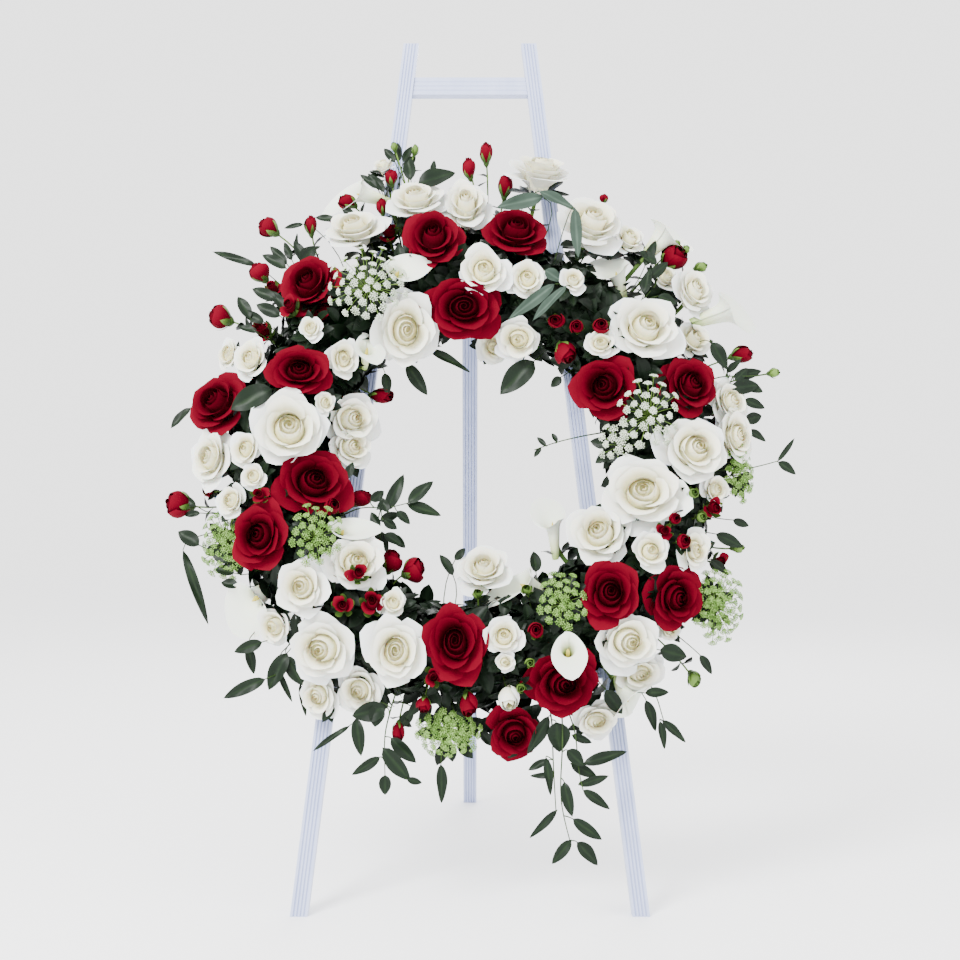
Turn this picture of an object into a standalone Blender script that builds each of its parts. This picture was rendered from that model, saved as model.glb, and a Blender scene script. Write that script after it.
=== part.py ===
"""Standing wreath on a folding easel.

A ring of wet floral foam in a plastic tray stands on a steel bracket against a leaning, white-painted easel.
Red and white roses, callas and sprays stand with their stems in holes in the foam, and mats of foliage cover it.
Metres, +Z up, the viewer looks along +Y. The easel frame has its own axes: x to the right, y up the slope of
the front legs, z out of their front faces towards the viewer. The wreath's axes are those, moved to its centre.
"""

import math
import random
from collections import namedtuple

import bpy
import numpy as np
from mathutils import Matrix, Vector
from mathutils.bvhtree import BVHTree

for old in list(bpy.data.objects):
    bpy.data.objects.remove(old)

GAP = 0.0003

# Easel: reeded mouldings, two splayed front legs, three rails and a hinged rear leg
LEAN = math.radians(14.5)
LEG_LENGTH = 1.3455
LEG_WIDTH = 0.024
LEG_DEPTH = 0.018
FOOT_HALF_SPREAD = 0.2367
TOP_HALF_SPREAD = 0.0942
SPLAY = math.atan((FOOT_HALF_SPREAD - TOP_HALF_SPREAD) / LEG_LENGTH)
REEDS = 5
GROOVE_DEPTH = 0.0020
GROOVE_HALF_WIDTH = 0.0013
RAIL_HEIGHT = 0.030
HINGE_RAIL_HEIGHT = 0.045
RAIL_DEPTH = 0.014
RAIL_SETBACK = 0.003
RAIL_GROOVE_DEPTH = 0.0009
TOP_RAIL_Y = 1.2712
HINGE_RAIL_Y = 0.918
LOWER_RAIL_Y = 0.345
TENON_LENGTH = 0.009
TENON_HEIGHT = 0.018
TENON_DEPTH = 0.007
REAR_FOOT_Y = 0.741

# Hinge of the rear leg
LEAF_WIDTH = 0.022
LEAF_LENGTH = 0.012
LEAF_THICKNESS = 0.0015
LEAF_OFFSET = 0.001
KNUCKLE_RADIUS = 0.0025
KNUCKLE_HALF = 0.004
PIN_RADIUS = 0.0013
BORE_RADIUS = 0.0017

# Wreath: the ring's centre line, the foam in its tray and the foliage mats over it
WREATH_Y = 0.634
RING_RADIUS = 0.277
RING_SIDES = 24
SECTORS = 8
FOAM_HALF_WIDTH = 0.042
FOAM_FRONT = 0.060
TRAY_WALL = 0.002
TRAY_RIM = 0.014
SECTION_HEIGHT = 0.034
MAT_THICKNESS = 0.008
MAT_GAP = 0.0005
BRACKET_WIDTH = 0.024
BRACKET_ARM = 0.024
BRACKET_THICKNESS = 0.003

# Heads stand on a swollen ring over the foam
HEAD_RADIAL_REACH = 0.088
HEAD_RISE = 0.078

# The front view: a place in it is a pixel of the 960 by 960 photograph, taken with a level camera straight in
# front of the easel, at this height and this far from the front feet, with the focal length in pixels
VIEW_MIDDLE = (470, 480)
VIEW_HEIGHT = 0.603
VIEW_DISTANCE = 2.099
VIEW_FOCAL = 1521
EYE_UP_SLOPE = VIEW_HEIGHT * math.cos(LEAN) - VIEW_DISTANCE * math.sin(LEAN)
EYE_OUT = VIEW_DISTANCE * math.cos(LEAN) + VIEW_HEIGHT * math.sin(LEAN)


def in_view(px, py, height):
    """The point of the wreath's frame seen at a pixel, at a height in metres over the easel's front, and the size
    in metres that a pixel has there."""
    across = (px - VIEW_MIDDLE[0]) / VIEW_FOCAL
    up = (VIEW_MIDDLE[1] - py) / VIEW_FOCAL
    along_slope = math.sin(LEAN) + up * math.cos(LEAN)
    inward = math.cos(LEAN) - up * math.sin(LEAN)
    far = (EYE_OUT - height) / inward
    return Vector((far * across, EYE_UP_SLOPE + far * along_slope - WREATH_Y, height)), far / VIEW_FOCAL


# Heads: pixel of the middle, width and height in pixels, layer in mm towards the viewer, lean as a share of the
# usual outward tilt, and for heads seen from the side the direction they point, in degrees from the right,
# with its rise towards the viewer
Head = namedtuple("Head", "kind px py width height layer lean aim rise tip", defaults=(0, 1.0, None, 25, None))

RED_ROSES = {
    "red_rose_01": [Head("rose", 434, 243, 57, 70)],
    "red_rose_02": [Head("rose", 515, 237, 63, 57)],
    "red_rose_03": [Head("rose", 464, 308, 74, 60, 4)],
    "red_rose_04": [Head("rose", 312, 290, 58, 70, -5)],
    "red_rose_05": [Head("rose", 300, 373, 68, 52, 5)],
    "red_rose_06": [Head("rose", 222, 405, 62, 58)],
    "red_rose_07": [Head("rose", 312, 484, 72, 66)],
    "red_rose_08": [Head("rose", 262, 537, 60, 66, 5)],
    "red_rose_09": [Head("rose", 455, 644, 62, 82, 5)],
    "red_rose_10": [Head("rose", 562, 681, 70, 62)],
    "red_rose_11": [Head("rose", 514, 731, 52, 52, -5)],
    "red_rose_12": [Head("rose", 609, 594, 60, 68, 5)],
    "red_rose_13": [Head("rose", 673, 597, 54, 62)],
    "red_rose_14": [Head("rose", 606, 388, 64, 62)],
    "red_rose_15": [Head("rose", 688, 388, 56, 62)],
}
WHITE_HEADS = {
    "white_rose_01": [Head("rose", 540, 176, 60, 48, 0, 2.2)],
    "white_rose_02": [
        Head("rose", 590, 228, 62, 60),
        Head("rosette", 628, 241, 30, 34, 5),
        Head("calla", 617, 272, 34, 48, 12, 1, 112, 30, 130),
    ],
    "white_rose_03": [
        Head("rose", 692, 294, 38, 50),
        Head("calla", 727, 312, 58, 40, 0, 1, 20, 20, 20),
    ],
    "white_rose_04": [Head("rose", 643, 331, 72, 70, 5)],
    "white_rose_05": [
        Head("rose", 644, 495, 84, 74),
        Head("rose", 692, 451, 70, 66, 5),
        Head("rose", 601, 536, 64, 66),
    ],
    "white_rose_06": [
        Head("rose", 626, 640, 64, 58),
        Head("rose", 637, 672, 50, 38, -10),
        Head("calla", 628, 702, 34, 52, 0, 1, -60, 15, -60),
    ],
    "white_rose_07": [Head("rose", 595, 719, 44, 34, -10)],
    "white_rose_08": [Head("rose", 397, 651, 62, 72, 5)],
    "white_rose_09": [Head("rose", 325, 648, 68, 64, 3)],
    "white_rose_10": [Head("rose", 361, 688, 44, 48, -8), Head("rose", 320, 694, 38, 44, -12)],
    "white_rose_11": [Head("rose", 303, 588, 54, 56)],
    "white_rose_12": [
        Head("rose", 355, 566, 60, 58),
        Head("calla", 342, 530, 46, 36, 12, 1, 60, 50, 10),
    ],
    "white_rose_13": [
        Head("rose", 484, 572, 50, 50, -8),
        Head("calla", 522, 583, 50, 38, 6, 1, 150, 25, 190),
    ],
    "white_rose_14": [Head("rose", 289, 431, 76, 78, 5)],
    "white_rose_15": [Head("rose", 350, 420, 52, 48), Head("rose", 350, 448, 44, 40, -8)],
    "white_rose_16": [Head("rose", 214, 460, 44, 56, -5)],
    "white_rose_17": [
        Head("rose", 405, 330, 60, 74, 3),
        Head("calla", 367, 347, 34, 50, 12, 1, 70, 50, -80),
    ],
    "white_rose_18": [Head("rose", 417, 203, 56, 44, -8)],
    "white_rose_19": [
        Head("rose", 356, 232, 60, 44, -8),
        Head("calla", 358, 193, 52, 32, 6, 1, 165, 25, 175),
    ],
    "white_rose_20": [Head("rose", 466, 210, 42, 60, -5)],
    "white_rose_21": [Head("rose", 727, 404, 40, 46, -3), Head("rose", 733, 438, 40, 56, -8)],
}
CALLAS = {
    "calla_01": [Head("calla", 397, 271, 42, 42, 10, 1, 60, 60, 20)],
    "calla_02": [Head("calla", 665, 235, 44, 46, 0, 1, 45, 20, 40)],
    "calla_03": [Head("calla", 553, 523, 30, 56, 0, 1, 100, 25, 110)],
    "calla_04": [Head("calla", 568, 648, 38, 44, 10, 1, 95, 72, -85)],
    "calla_05": [Head("calla", 253, 600, 46, 50, 8, 1, 225, 30, 225)],
}
WHITE_ROSETTES = [
    Head("rosette", 484, 272, 52, 55, 14),
    Head("rosette", 527, 280, 42, 44, 3),
    Head("rosette", 573, 281, 26, 28, 3),
    Head("rosette", 519, 339, 44, 40),
    Head("rosette", 494, 346, 34, 34, -6),
    Head("rosette", 601, 344, 34, 28),
    Head("rosette", 664, 279, 27, 28, 3),
    Head("rosette", 692, 341, 36, 38),
    Head("rosette", 650, 552, 42, 42, 3),
    Head("rosette", 693, 550, 34, 42),
    Head("rosette", 714, 490, 28, 30),
    Head("rosette", 504, 637, 40, 42, 3),
    Head("rosette", 505, 662, 22, 20),
    Head("bud", 508, 697, 24, 28, 3, 1, -80, 40),
    Head("rosette", 311, 329, 25, 28, 5),
    Head("rosette", 343, 359, 32, 40),
    Head("rosette", 253, 361, 36, 42),
    Head("rosette", 230, 356, 22, 36, -8),
    Head("rosette", 325, 403, 20, 24, 8),
    Head("rosette", 247, 450, 32, 40, 3),
    Head("rosette", 254, 477, 28, 28, 3),
    Head("rosette", 233, 501, 30, 34),
    Head("rosette", 276, 626, 36, 38, -3),
    Head("rosette", 393, 604, 28, 30),
    Head("rosette", 384, 168, 22, 22, -5, 2),
    Head("rosette", 668, 628, 26, 26, -8),
]
BUDS = [
    Head("bud", 486, 154, 14, 24, 0, 1, 95),
    Head("bud", 469, 169, 14, 24, 0, 1, 110),
    Head("bud", 505, 187, 16, 26, -5, 1, 80),
    Head("bud", 391, 178, 14, 18, 0, 1, 100),
    Head("bud", 348, 202, 20, 16, 0, 1, 150),
    Head("bud", 382, 207, 12, 18, 5, 1, 100),
    Head("bud", 389, 232, 26, 26, 5),
    Head("bud", 311, 226, 13, 22, 0, 1, 95),
    Head("bud", 269, 228, 22, 22, 0, 1, 150),
    Head("bud", 260, 273, 22, 22, 0, 1, 130),
    Head("bud", 273, 289, 22, 22, 0),
    Head("bud", 221, 318, 24, 28, 0, 1, 170),
    Head("bud", 263, 331, 28, 24),
    Head("bud", 290, 307, 22, 26, 8),
    Head("bud", 381, 396, 26, 16, -5, 1, -20),
    Head("bud", 180, 504, 28, 30, 0, 1, 175),
    Head("bud", 209, 490, 13, 14),
    Head("bud", 260, 495, 22, 20, 5),
    Head("bud", 332, 507, 18, 20, 12),
    Head("bud", 361, 499, 24, 18, -5, 1, 40),
    Head("bud", 391, 562, 22, 26, -3, 1, 60),
    Head("bud", 413, 570, 24, 28, 0, 1, 20),
    Head("bud", 358, 574, 24, 24, 20),
    Head("bud", 343, 606, 26, 26, 6),
    Head("bud", 372, 603, 28, 34, 4),
    Head("bud", 434, 676, 24, 26, 3),
    Head("bud", 424, 704, 16, 18, 0, 1, -100),
    Head("bud", 468, 703, 20, 28, 0, 1, -80),
    Head("bud", 398, 731, 14, 22, 0, 1, -95),
    Head("bud", 536, 631, 18, 20),
    Head("bud", 556, 321, 20, 16),
    Head("bud", 577, 327, 16, 16),
    Head("bud", 601, 326, 20, 18, 5),
    Head("bud", 565, 352, 24, 26, -5, 1, -60),
    Head("bud", 673, 258, 30, 28, 0, 1, 30, 50),
    Head("bud", 741, 355, 24, 18, 0, 1, 10),
    Head("bud", 664, 531, 22, 20, -3),
    Head("bud", 675, 519, 14, 14, 5),
    Head("bud", 683, 541, 16, 18, 6),
    Head("bud", 713, 508, 24, 24, 6),
    Head("bud", 719, 562, 20, 22),
    Head("bud", 604, 199, 10, 10, 0, 1, 80),
]
GREEN_BUDS = [
    Head("bud", 774, 373, 14, 12, 0, 1, 0),
    Head("bud", 701, 267, 16, 12, 0, 1, 20),
    Head("bud", 738, 548, 16, 11, 0, 1, 0),
    Head("bud", 694, 679, 16, 20, 0, 1, -60),
    Head("bud", 527, 590, 14, 13, 8),
    Head("bud", 530, 663, 12, 12, 4),
    Head("bud", 521, 688, 12, 12),
    Head("bud", 478, 594, 13, 12, 8),
    Head("bud", 693, 493, 14, 14, 6),
    Head("bud", 701, 517, 14, 14, 4),
    Head("bud", 415, 150, 9, 14, 0, 1, 70),
    Head("bud", 394, 147, 9, 12, 0, 1, 110),
]

# Lace: middle of the umbel, its half width and half height in pixels, layer in mm, and its number of umbellets
LACE = [
    (366, 280, 46, 48, 6, 18),
    (650, 410, 36, 44, -4, 11),
    (617, 441, 26, 26, -6, 6),
    (316, 532, 30, 38, 0, 10),
    (562, 598, 28, 36, 0, 9),
    (448, 736, 36, 28, -4, 10),
    (722, 606, 32, 44, -4, 11),
    (743, 470, 14, 38, -4, 6),
    (221, 542, 24, 42, -4, 9),
]

# Leaves that show: base pixel, tip pixel, width in pixels, height in mm over the easel's front
LEAVES = [
    (265, 679, 223, 698, 13, 70), (287, 653, 268, 690, 18, 60), (286, 656, 303, 686, 15, 60),
    (277, 668, 292, 702, 6, 52), (300, 684, 306, 716, 6, 40), (262, 642, 234, 652, 12, 60),
    (248, 646, 254, 674, 10, 44), (349, 726, 312, 751, 6, 60), (356, 718, 361, 756, 13, 66),
    (380, 757, 352, 775, 10, 70), (383, 748, 410, 781, 17, 72), (385, 775, 385, 795, 12, 70),
    (407, 779, 422, 783, 7, 70), (386, 708, 352, 716, 20, 70), (378, 704, 375, 727, 16, 70),
    (391, 738, 416, 763, 14, 60), (441, 764, 442, 803, 11, 60),
    (549, 716, 528, 754, 13, 70), (548, 760, 528, 770, 8, 60), (553, 775, 530, 776, 6, 66),
    (546, 757, 551, 795, 9, 74), (583, 764, 627, 751, 12, 76), (567, 750, 584, 766, 14, 80),
    (571, 764, 597, 777, 11, 70), (579, 785, 609, 776, 9, 76), (583, 790, 610, 809, 10, 80),
    (564, 782, 572, 817, 12, 84), (573, 819, 602, 840, 12, 78),
    (557, 810, 530, 838, 8, 70), (571, 840, 552, 864, 11, 80), (577, 842, 598, 865, 14, 72),
    (556, 722, 560, 752, 24, 70), (572, 735, 592, 743, 8, 60),
    (646, 700, 656, 731, 11, 62), (660, 721, 665, 749, 8, 66), (662, 720, 686, 742, 9, 60),
    (645, 693, 669, 692, 10, 64),
    (386, 511, 404, 474, 13, 70), (408, 503, 433, 481, 13, 76), (407, 504, 441, 515, 12, 70),
    (380, 521, 400, 513, 10, 60), (384, 534, 402, 545, 12, 64), (376, 530, 388, 552, 12, 56),
    (453, 575, 440, 554, 10, 66), (455, 560, 465, 548, 8, 60),
    (190, 408, 170, 428, 10, 24), (272, 389, 230, 409, 25, 112), (183, 550, 208, 624, 10, 44),
    (199, 545, 178, 531, 15, 56), (256, 265, 212, 251, 8, 50), (336, 220, 315, 217, 8, 62),
    (303, 224, 284, 228, 5, 58), (418, 184, 455, 172, 21, 66), (411, 180, 408, 156, 13, 50),
    (433, 174, 434, 160, 6, 52), (427, 348, 470, 371, 9, 66), (407, 364, 427, 395, 14, 60),
    (385, 373, 388, 395, 10, 56), (539, 191, 576, 209, 12, 128), (543, 197, 497, 207, 15, 122),
    (590, 214, 590, 250, 30, 150), (555, 284, 509, 319, 12, 136), (566, 286, 532, 320, 10, 140),
    (545, 270, 561, 281, 12, 122), (534, 361, 500, 394, 24, 62), (561, 377, 551, 387, 9, 60),
    (712, 342, 727, 369, 14, 80), (731, 388, 759, 385, 15, 60), (745, 420, 762, 416, 12, 34),
    (778, 461, 795, 438, 5, 56), (778, 462, 796, 474, 10, 52), (660, 650, 687, 657, 18, 84),
    (606, 690, 622, 714, 15, 76), (536, 572, 534, 551, 12, 60), (716, 534, 743, 547, 12, 64),
    (300, 262, 316, 246, 14, 66), (250, 318, 238, 296, 12, 56), (735, 380, 748, 368, 9, 66),
]

# Stems that show: pixels with heights in mm, from the mat outwards
STEMS = [
    [(392, 704, 52), (384, 735, 66), (385, 776, 70)],
    [(562, 700, 60), (563, 745, 76), (559, 800, 80), (570, 841, 78)],
    [(552, 712, 60), (553, 760, 70), (556, 812, 70)],
    [(576, 730, 60), (578, 770, 74), (583, 790, 80)],
    [(655, 690, 30), (664, 722, 50)],
    [(362, 506, 60), (385, 509, 68), (408, 503, 74)],
    [(742, 470, 50), (760, 466, 54), (778, 461, 54)],
    [(582, 436, 60), (556, 442, 64), (534, 450, 62)],
    [(722, 375, 60), (745, 377, 64), (768, 374, 62)],
]


def seat(head):
    """(middle, radius) of a head on the swollen ring, and its half sizes across the picture."""
    height = 0.1
    for _ in range(4):
        point, scale = in_view(head.px, head.py, height)
        radius = 0.25 * (head.width + head.height) * scale
        out = (math.hypot(point.x, point.y) - RING_RADIUS) / HEAD_RADIAL_REACH
        out = max(-1.0, min(1.0, out))
        height = SECTION_HEIGHT + HEAD_RISE * math.sqrt(1 - out * out) + head.layer / 1000
        if head.kind in ("bud", "rosette"):
            height += 0.6 * (0.035 - radius)
        height = max(height, radius + 0.020)
    return in_view(head.px, head.py, height)[0], radius, out


def facing(head, point, out):
    """The unit direction that a head opens in."""
    if head.aim is not None:
        aim, rise = math.radians(head.aim), math.radians(head.rise)
        return Vector((math.cos(aim) * math.cos(rise), math.sin(aim) * math.cos(rise), math.sin(rise)))
    radial = Vector((point.x, point.y, 0)).normalized()
    return (radial * 0.5 * out * head.lean + Vector((0, 0, 1))).normalized()


def axes(direction, roll):
    """A right-handed frame whose third axis is the direction; roll is an angle, or the in-picture angle of x."""
    hint = Vector((math.cos(roll), math.sin(roll), 0))
    if abs(hint.dot(direction)) > 0.95:
        hint = Vector((0, 0, 1))
    across = (hint - direction * hint.dot(direction)).normalized()
    return np.array([across, direction.cross(across), direction]).T


# A head is a pile of rings of points, from the stem up the outside to the rims and down into the heart. Sizes are
# shares of the head's radius, and z is along the direction it opens in.


def circle(count, radius, z, phase=0.0):
    turn = phase + np.arange(count) * 2 * math.pi / count
    return np.stack([radius * np.cos(turn), radius * np.sin(turn), np.full(count, z)], axis=1)


def petal_rim(petals, radius, z, phase, rng, points=3, tip=0.08, lift=0.06):
    """A rim of petals that overlap one way: each starts tucked in, swells to its tip and ends proud."""
    shares = {3: [(0.05, -0.09, -lift), (0.5, tip, lift), (0.93, 0.03, 0.0)], 2: [(0.15, -0.09, -lift), (0.8, tip, lift)]}
    rim = []
    for petal in range(petals):
        for share, swell, rise in shares[points]:
            turn = phase + (petal + share) * 2 * math.pi / petals
            reach = radius * (1 + swell + rng.uniform(-0.03, 0.03))
            rim.append((reach * math.cos(turn), reach * math.sin(turn), z + rise + rng.uniform(-0.02, 0.02)))
    return np.array(rim)


def rose_rings(rng):
    turn = rng.uniform(0, 6.28)
    return [
        circle(5, 0.22, -0.78, turn),
        circle(7, 0.74, -0.38, turn),
        petal_rim(5, 0.97, 0.10, turn, rng, 2, 0.08, 0.07),
        circle(7, 0.66, 0.06, turn + 0.3),
        petal_rim(4, 0.62, 0.42, turn + 0.6, rng, 2, 0.06),
        circle(5, 0.38, 0.26, turn + 0.5),
        petal_rim(3, 0.34, 0.55, turn + 1.5, rng, 2, 0.08),
        np.array([(0.0, 0.0, 0.40)]),
    ]


def rosette_rings(rng):
    turn = rng.uniform(0, 6.28)
    return [
        circle(3, 0.25, -0.72, turn),
        circle(5, 0.74, -0.28, turn),
        petal_rim(4, 0.98, 0.12, turn, rng, 2, 0.10, 0.10),
        circle(5, 0.50, 0.06, turn + 0.3),
        circle(4, 0.30, 0.36, turn + 0.7),
        np.array([(0.0, 0.0, 0.30)]),
    ]


def bud_rings(rng):
    turn = rng.uniform(0, 6.28)
    return [
        circle(3, 0.42, -0.80, turn),
        circle(5, 0.92, -0.05, turn),
        circle(3, 0.52, 0.86, turn + 1.1),
        np.array([(0.0, 0.0, 0.72)]),
    ]


def calla_rings(rng):
    """A funnel with a wide lip that runs out to one point, towards +x, and the spadix standing in its throat."""
    lip = []
    for k in range(10):
        turn = 2 * math.pi * k / 10
        towards_tip = 0.5 + 0.5 * math.cos(turn)
        reach = 0.62 + 0.45 * towards_tip**2 + rng.uniform(-0.02, 0.02)
        lip.append((reach * math.cos(turn), reach * math.sin(turn), 0.30 + 0.12 * towards_tip - 0.10 * math.cos(2 * turn)))
    return [
        circle(4, 0.20, -0.80),
        circle(7, 0.38, -0.15),
        np.array(lip),
        circle(6, 0.30, 0.02),
        circle(4, 0.17, -0.32),
        circle(3, 0.08, -0.36),
        circle(3, 0.08, 0.22),
    ]


RINGS = {"rose": rose_rings, "rosette": rosette_rings, "bud": bud_rings, "calla": calla_rings}
STEM_RADIUS = {"rose": 0.0036, "calla": 0.0038, "rosette": 0.0019, "bud": 0.0015}
STEM_SIDES = 3


class Bloom:
    """A head in place in the wreath's frame."""

    def __init__(self, head, node, rng):
        self.head, self.node, self.owner = head, node, str(head)
        self.middle, self.radius, out = seat(head)
        self.direction = facing(head, self.middle, out)
        roll = rng.uniform(0, 6.28) if head.tip is None else math.radians(head.tip)
        self.axes = axes(self.direction, roll)
        mean = 0.5 * (head.width + head.height)
        self.stretch = np.array([head.width / mean, head.height / mean, 1.0])
        self.rings = [ring @ self.axes.T * self.radius * self.stretch for ring in RINGS[head.kind](rng)]
        self.planes = []

    def reach(self, towards):
        """Half size of the head along a unit direction."""
        return self.radius / math.sqrt(sum((t / s) ** 2 for t, s in zip(towards, self.stretch)))

    def press(self):
        """Heads that touch press each other flat: each point is drawn in towards the middle, the more the nearer
        it comes to a plane shared with a neighbour, and never past it."""
        free = 0.80
        placed = []
        for level, ring in enumerate(self.rings):
            if self.planes:
                normals = np.array([n for n, _ in self.planes])
                limits = np.array([t for _, t in self.planes])
                strain = np.maximum((ring @ normals.T / limits).max(axis=1), 1e-9)
                soft = free + (1 - free) * (1 - np.exp(-(strain - free) / (1 - free)))
                ring = ring * np.where(strain > free, soft / strain, 1.0)[:, None]
            placed.append(drawn_off_mat(np.array(self.middle), ring, 0.0 if level else STEM_RADIUS[self.head.kind]))
        self.rings = placed

    def base(self):
        return Vector(self.rings[0].mean(axis=0))


def share_planes(blooms):
    """Gives each pair of heads that touch one plane between them, square to the line through their middles."""
    for i, a in enumerate(blooms):
        for b in blooms[i + 1 :]:
            gap = b.middle - a.middle
            distance = gap.length
            towards = gap / distance
            ra, rb = a.reach(towards), b.reach(towards)
            if distance > 1.12 * (ra + rb):
                continue
            for bloom, way, mine, other in ((a, towards, ra, rb), (b, -towards, rb, ra)):
                limit = distance * mine / (mine + other) - GAP
                bloom.planes.append((np.array(way), limit))


MAT_REACH = FOAM_HALF_WIDTH + MAT_GAP + MAT_THICKNESS + 0.0028
MAT_TOP = FOAM_FRONT + MAT_GAP + MAT_THICKNESS + 0.0008
CLEAR_OF_LEGS = 0.004


def drawn_off_mat(middle, spokes, margin, steps=60):
    """Each point is drawn in towards the head's middle until it is out of the mats' section, by a margin, and in
    front of the legs' faces."""
    share = np.ones(len(spokes))
    for step in range(1, steps + 1):
        points = middle + spokes * (step / steps)
        offset = np.hypot(points[:, 0], points[:, 1]) - RING_RADIUS
        taken = (np.abs(offset) < MAT_REACH + margin) & (points[:, 2] < MAT_TOP + margin)
        taken |= points[:, 2] < CLEAR_OF_LEGS + margin
        share = np.where(taken & (share > (step - 1) / steps), (step - 1) / steps, share)
    return middle + spokes * share[:, None]


def zipped(a, b):
    """Triangles between two rings of point numbers of any counts."""
    faces, i, j = [], 0, 0
    n, m = len(a), len(b)
    while i < n or j < m:
        if m == 1:
            faces.append((a[i], a[(i + 1) % n], b[0]))
            i += 1
            if i == n:
                break
        elif j >= m or (i < n and (i + 1) / n <= (j + 1) / m):
            faces.append((a[i % n], a[(i + 1) % n], b[j % m]))
            i += 1
        else:
            faces.append((a[i % n], b[(j + 1) % m], b[j % m]))
            j += 1
    return faces


def pile(rings):
    """(points, faces) of a closed pile of rings: a flat cap below, and a cap or one point above. Each ring starts at
    the point that lies most nearly over the start of the one below, so the sides aren't twisted."""
    points, faces, before, start = [], [], None, None
    for ring in rings:
        ring = np.array(ring)
        if len(ring) > 1:
            spokes = ring - ring.mean(axis=0)
            spokes /= np.linalg.norm(spokes, axis=1)[:, None]
            if start is not None:
                turned = int(np.argmax(spokes @ start))
                ring, spokes = np.roll(ring, -turned, axis=0), np.roll(spokes, -turned, axis=0)
            start = spokes[0]
        numbers = list(range(len(points), len(points) + len(ring)))
        points.extend(map(tuple, ring))
        if before is None:
            faces.append(tuple(reversed(numbers)))
        else:
            faces.extend(zipped(before, numbers))
        before = numbers
    if len(before) > 1:
        faces.append(tuple(before))
    return points, faces


def tube_rings(path, radius, sides, first_axis):
    """Rings of a tube along a path, each turned as little as possible from the one before."""
    rings, across = [], Vector(first_axis)
    for k, point in enumerate(path):
        ahead = path[min(k + 1, len(path) - 1)] - path[max(k - 1, 0)]
        ahead.normalize()
        across = (across - ahead * across.dot(ahead)).normalized()
        other = ahead.cross(across)
        turns = [2 * math.pi * s / sides for s in range(sides)]
        rings.append(np.array([point + (across * math.cos(t) + other * math.sin(t)) * radius for t in turns]))
    return rings


def slope_across(direction):
    """Any unit vector square to a direction."""
    hint = Vector((0, 0, 1)) if abs(direction.z) < 0.9 else Vector((1, 0, 0))
    return direction.cross(hint).normalized()


class Obstacles:
    """Everything in place so far, with the name of what it belongs to."""

    def __init__(self):
        self.items = []

    def add(self, owner, points, faces):
        array = np.array(points)
        middle = (array.min(axis=0) + array.max(axis=0)) / 2
        radius = np.linalg.norm(array - middle, axis=1).max()
        tree = BVHTree.FromPolygons([tuple(p) for p in points], [tuple(f) for f in faces])
        self.items.append((owner, tree, middle, radius))

    def near(self, samples, reach, own):
        array = np.array(samples)
        low, high = array.min(axis=0) - reach, array.max(axis=0) + reach
        return [
            tree
            for owner, tree, middle, radius in self.items
            if owner not in own and np.all(middle + radius > low) and np.all(middle - radius < high)
        ]

    def clear_path(self, path, radius, own, skip=0.0):
        """True if a tube along the path touches nothing but its own."""
        samples = []
        for start, end in zip(path, path[1:]):
            steps = max(2, int((end - start).length / 0.0025))
            samples += [start.lerp(end, k / steps) for k in range(steps + 1)]
        samples = [s for s in samples if (s - path[0]).length >= skip]
        if min(s.z for s in samples) < CLEAR_OF_LEGS:
            return False
        reach = radius + 0.0008
        trees = self.near(samples, reach, own)
        return all(tree.find_nearest(s, reach)[0] is None for tree in trees for s in samples)

    def clear_mesh(self, points, faces, own):
        """True if a small mesh neither meets nor lies inside anything but its own."""
        if min(p[2] for p in points) < CLEAR_OF_LEGS:
            return False
        trees = self.near(points, 0.001, own)
        if not trees:
            return True
        tree = BVHTree.FromPolygons([tuple(p) for p in points], [tuple(f) for f in faces])
        for other in trees:
            if tree.overlap(other):
                return False
            for point in points:
                place, normal, _, distance = other.find_nearest(Vector(point))
                if distance < 0.0006 or (Vector(point) - place).dot(normal) < 0 and distance < 0.02:
                    return False
        return True


def section_point(turn, offset, height):
    """The point at an angle round the ring, an offset from its centre line, and a height."""
    reach = RING_RADIUS + offset
    return Vector((reach * math.cos(turn), reach * math.sin(turn), height))


def root_choices(base, spread, depth, middle_turn=None, half_turn=None):
    """(entry, foot) of a stem, nearest first, on the top or the walls of the foam or of a mat."""
    turn = math.atan2(base.y, base.x)
    choices = []
    wall = FOAM_HALF_WIDTH + MAT_THICKNESS
    top = FOAM_FRONT + MAT_THICKNESS
    for step in range(-7, 8):
        angle = turn + math.radians(step * spread)
        if middle_turn is not None:
            off = (angle - middle_turn + math.pi) % (2 * math.pi) - math.pi
            if abs(off) > half_turn:
                continue
        for offset in (0, -0.012, 0.012, -0.024, 0.024, -0.034, 0.034):
            entry = section_point(angle, offset, top)
            choices.append((entry, section_point(angle, offset * 0.8, top - depth)))
        for height in (0.052, 0.040, 0.028):
            entry = section_point(angle, wall, height)
            choices.append((entry, section_point(angle, wall - depth, height)))
            if middle_turn is None and height < 0.05:
                entry = section_point(angle, 0.002 - wall, height)
                choices.append((entry, section_point(angle, depth - wall, height)))
    return sorted(choices, key=lambda c: (c[0] - base).length)


# Blender objects

MATERIALS = {
    "white_paint": ((0.86, 0.88, 0.93), 0.45, 0.0),
    "zinc_steel": ((0.62, 0.62, 0.63), 0.35, 1.0),
    "floral_foam": ((0.06, 0.16, 0.07), 0.95, 0.0),
    "green_plastic": ((0.03, 0.10, 0.04), 0.5, 0.0),
    "foliage": ((0.05, 0.11, 0.05), 0.6, 0.0),
    "red_petals": ((0.45, 0.0, 0.02), 0.6, 0.0),
    "white_petals": ((0.85, 0.85, 0.78), 0.6, 0.0),
}


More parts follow.
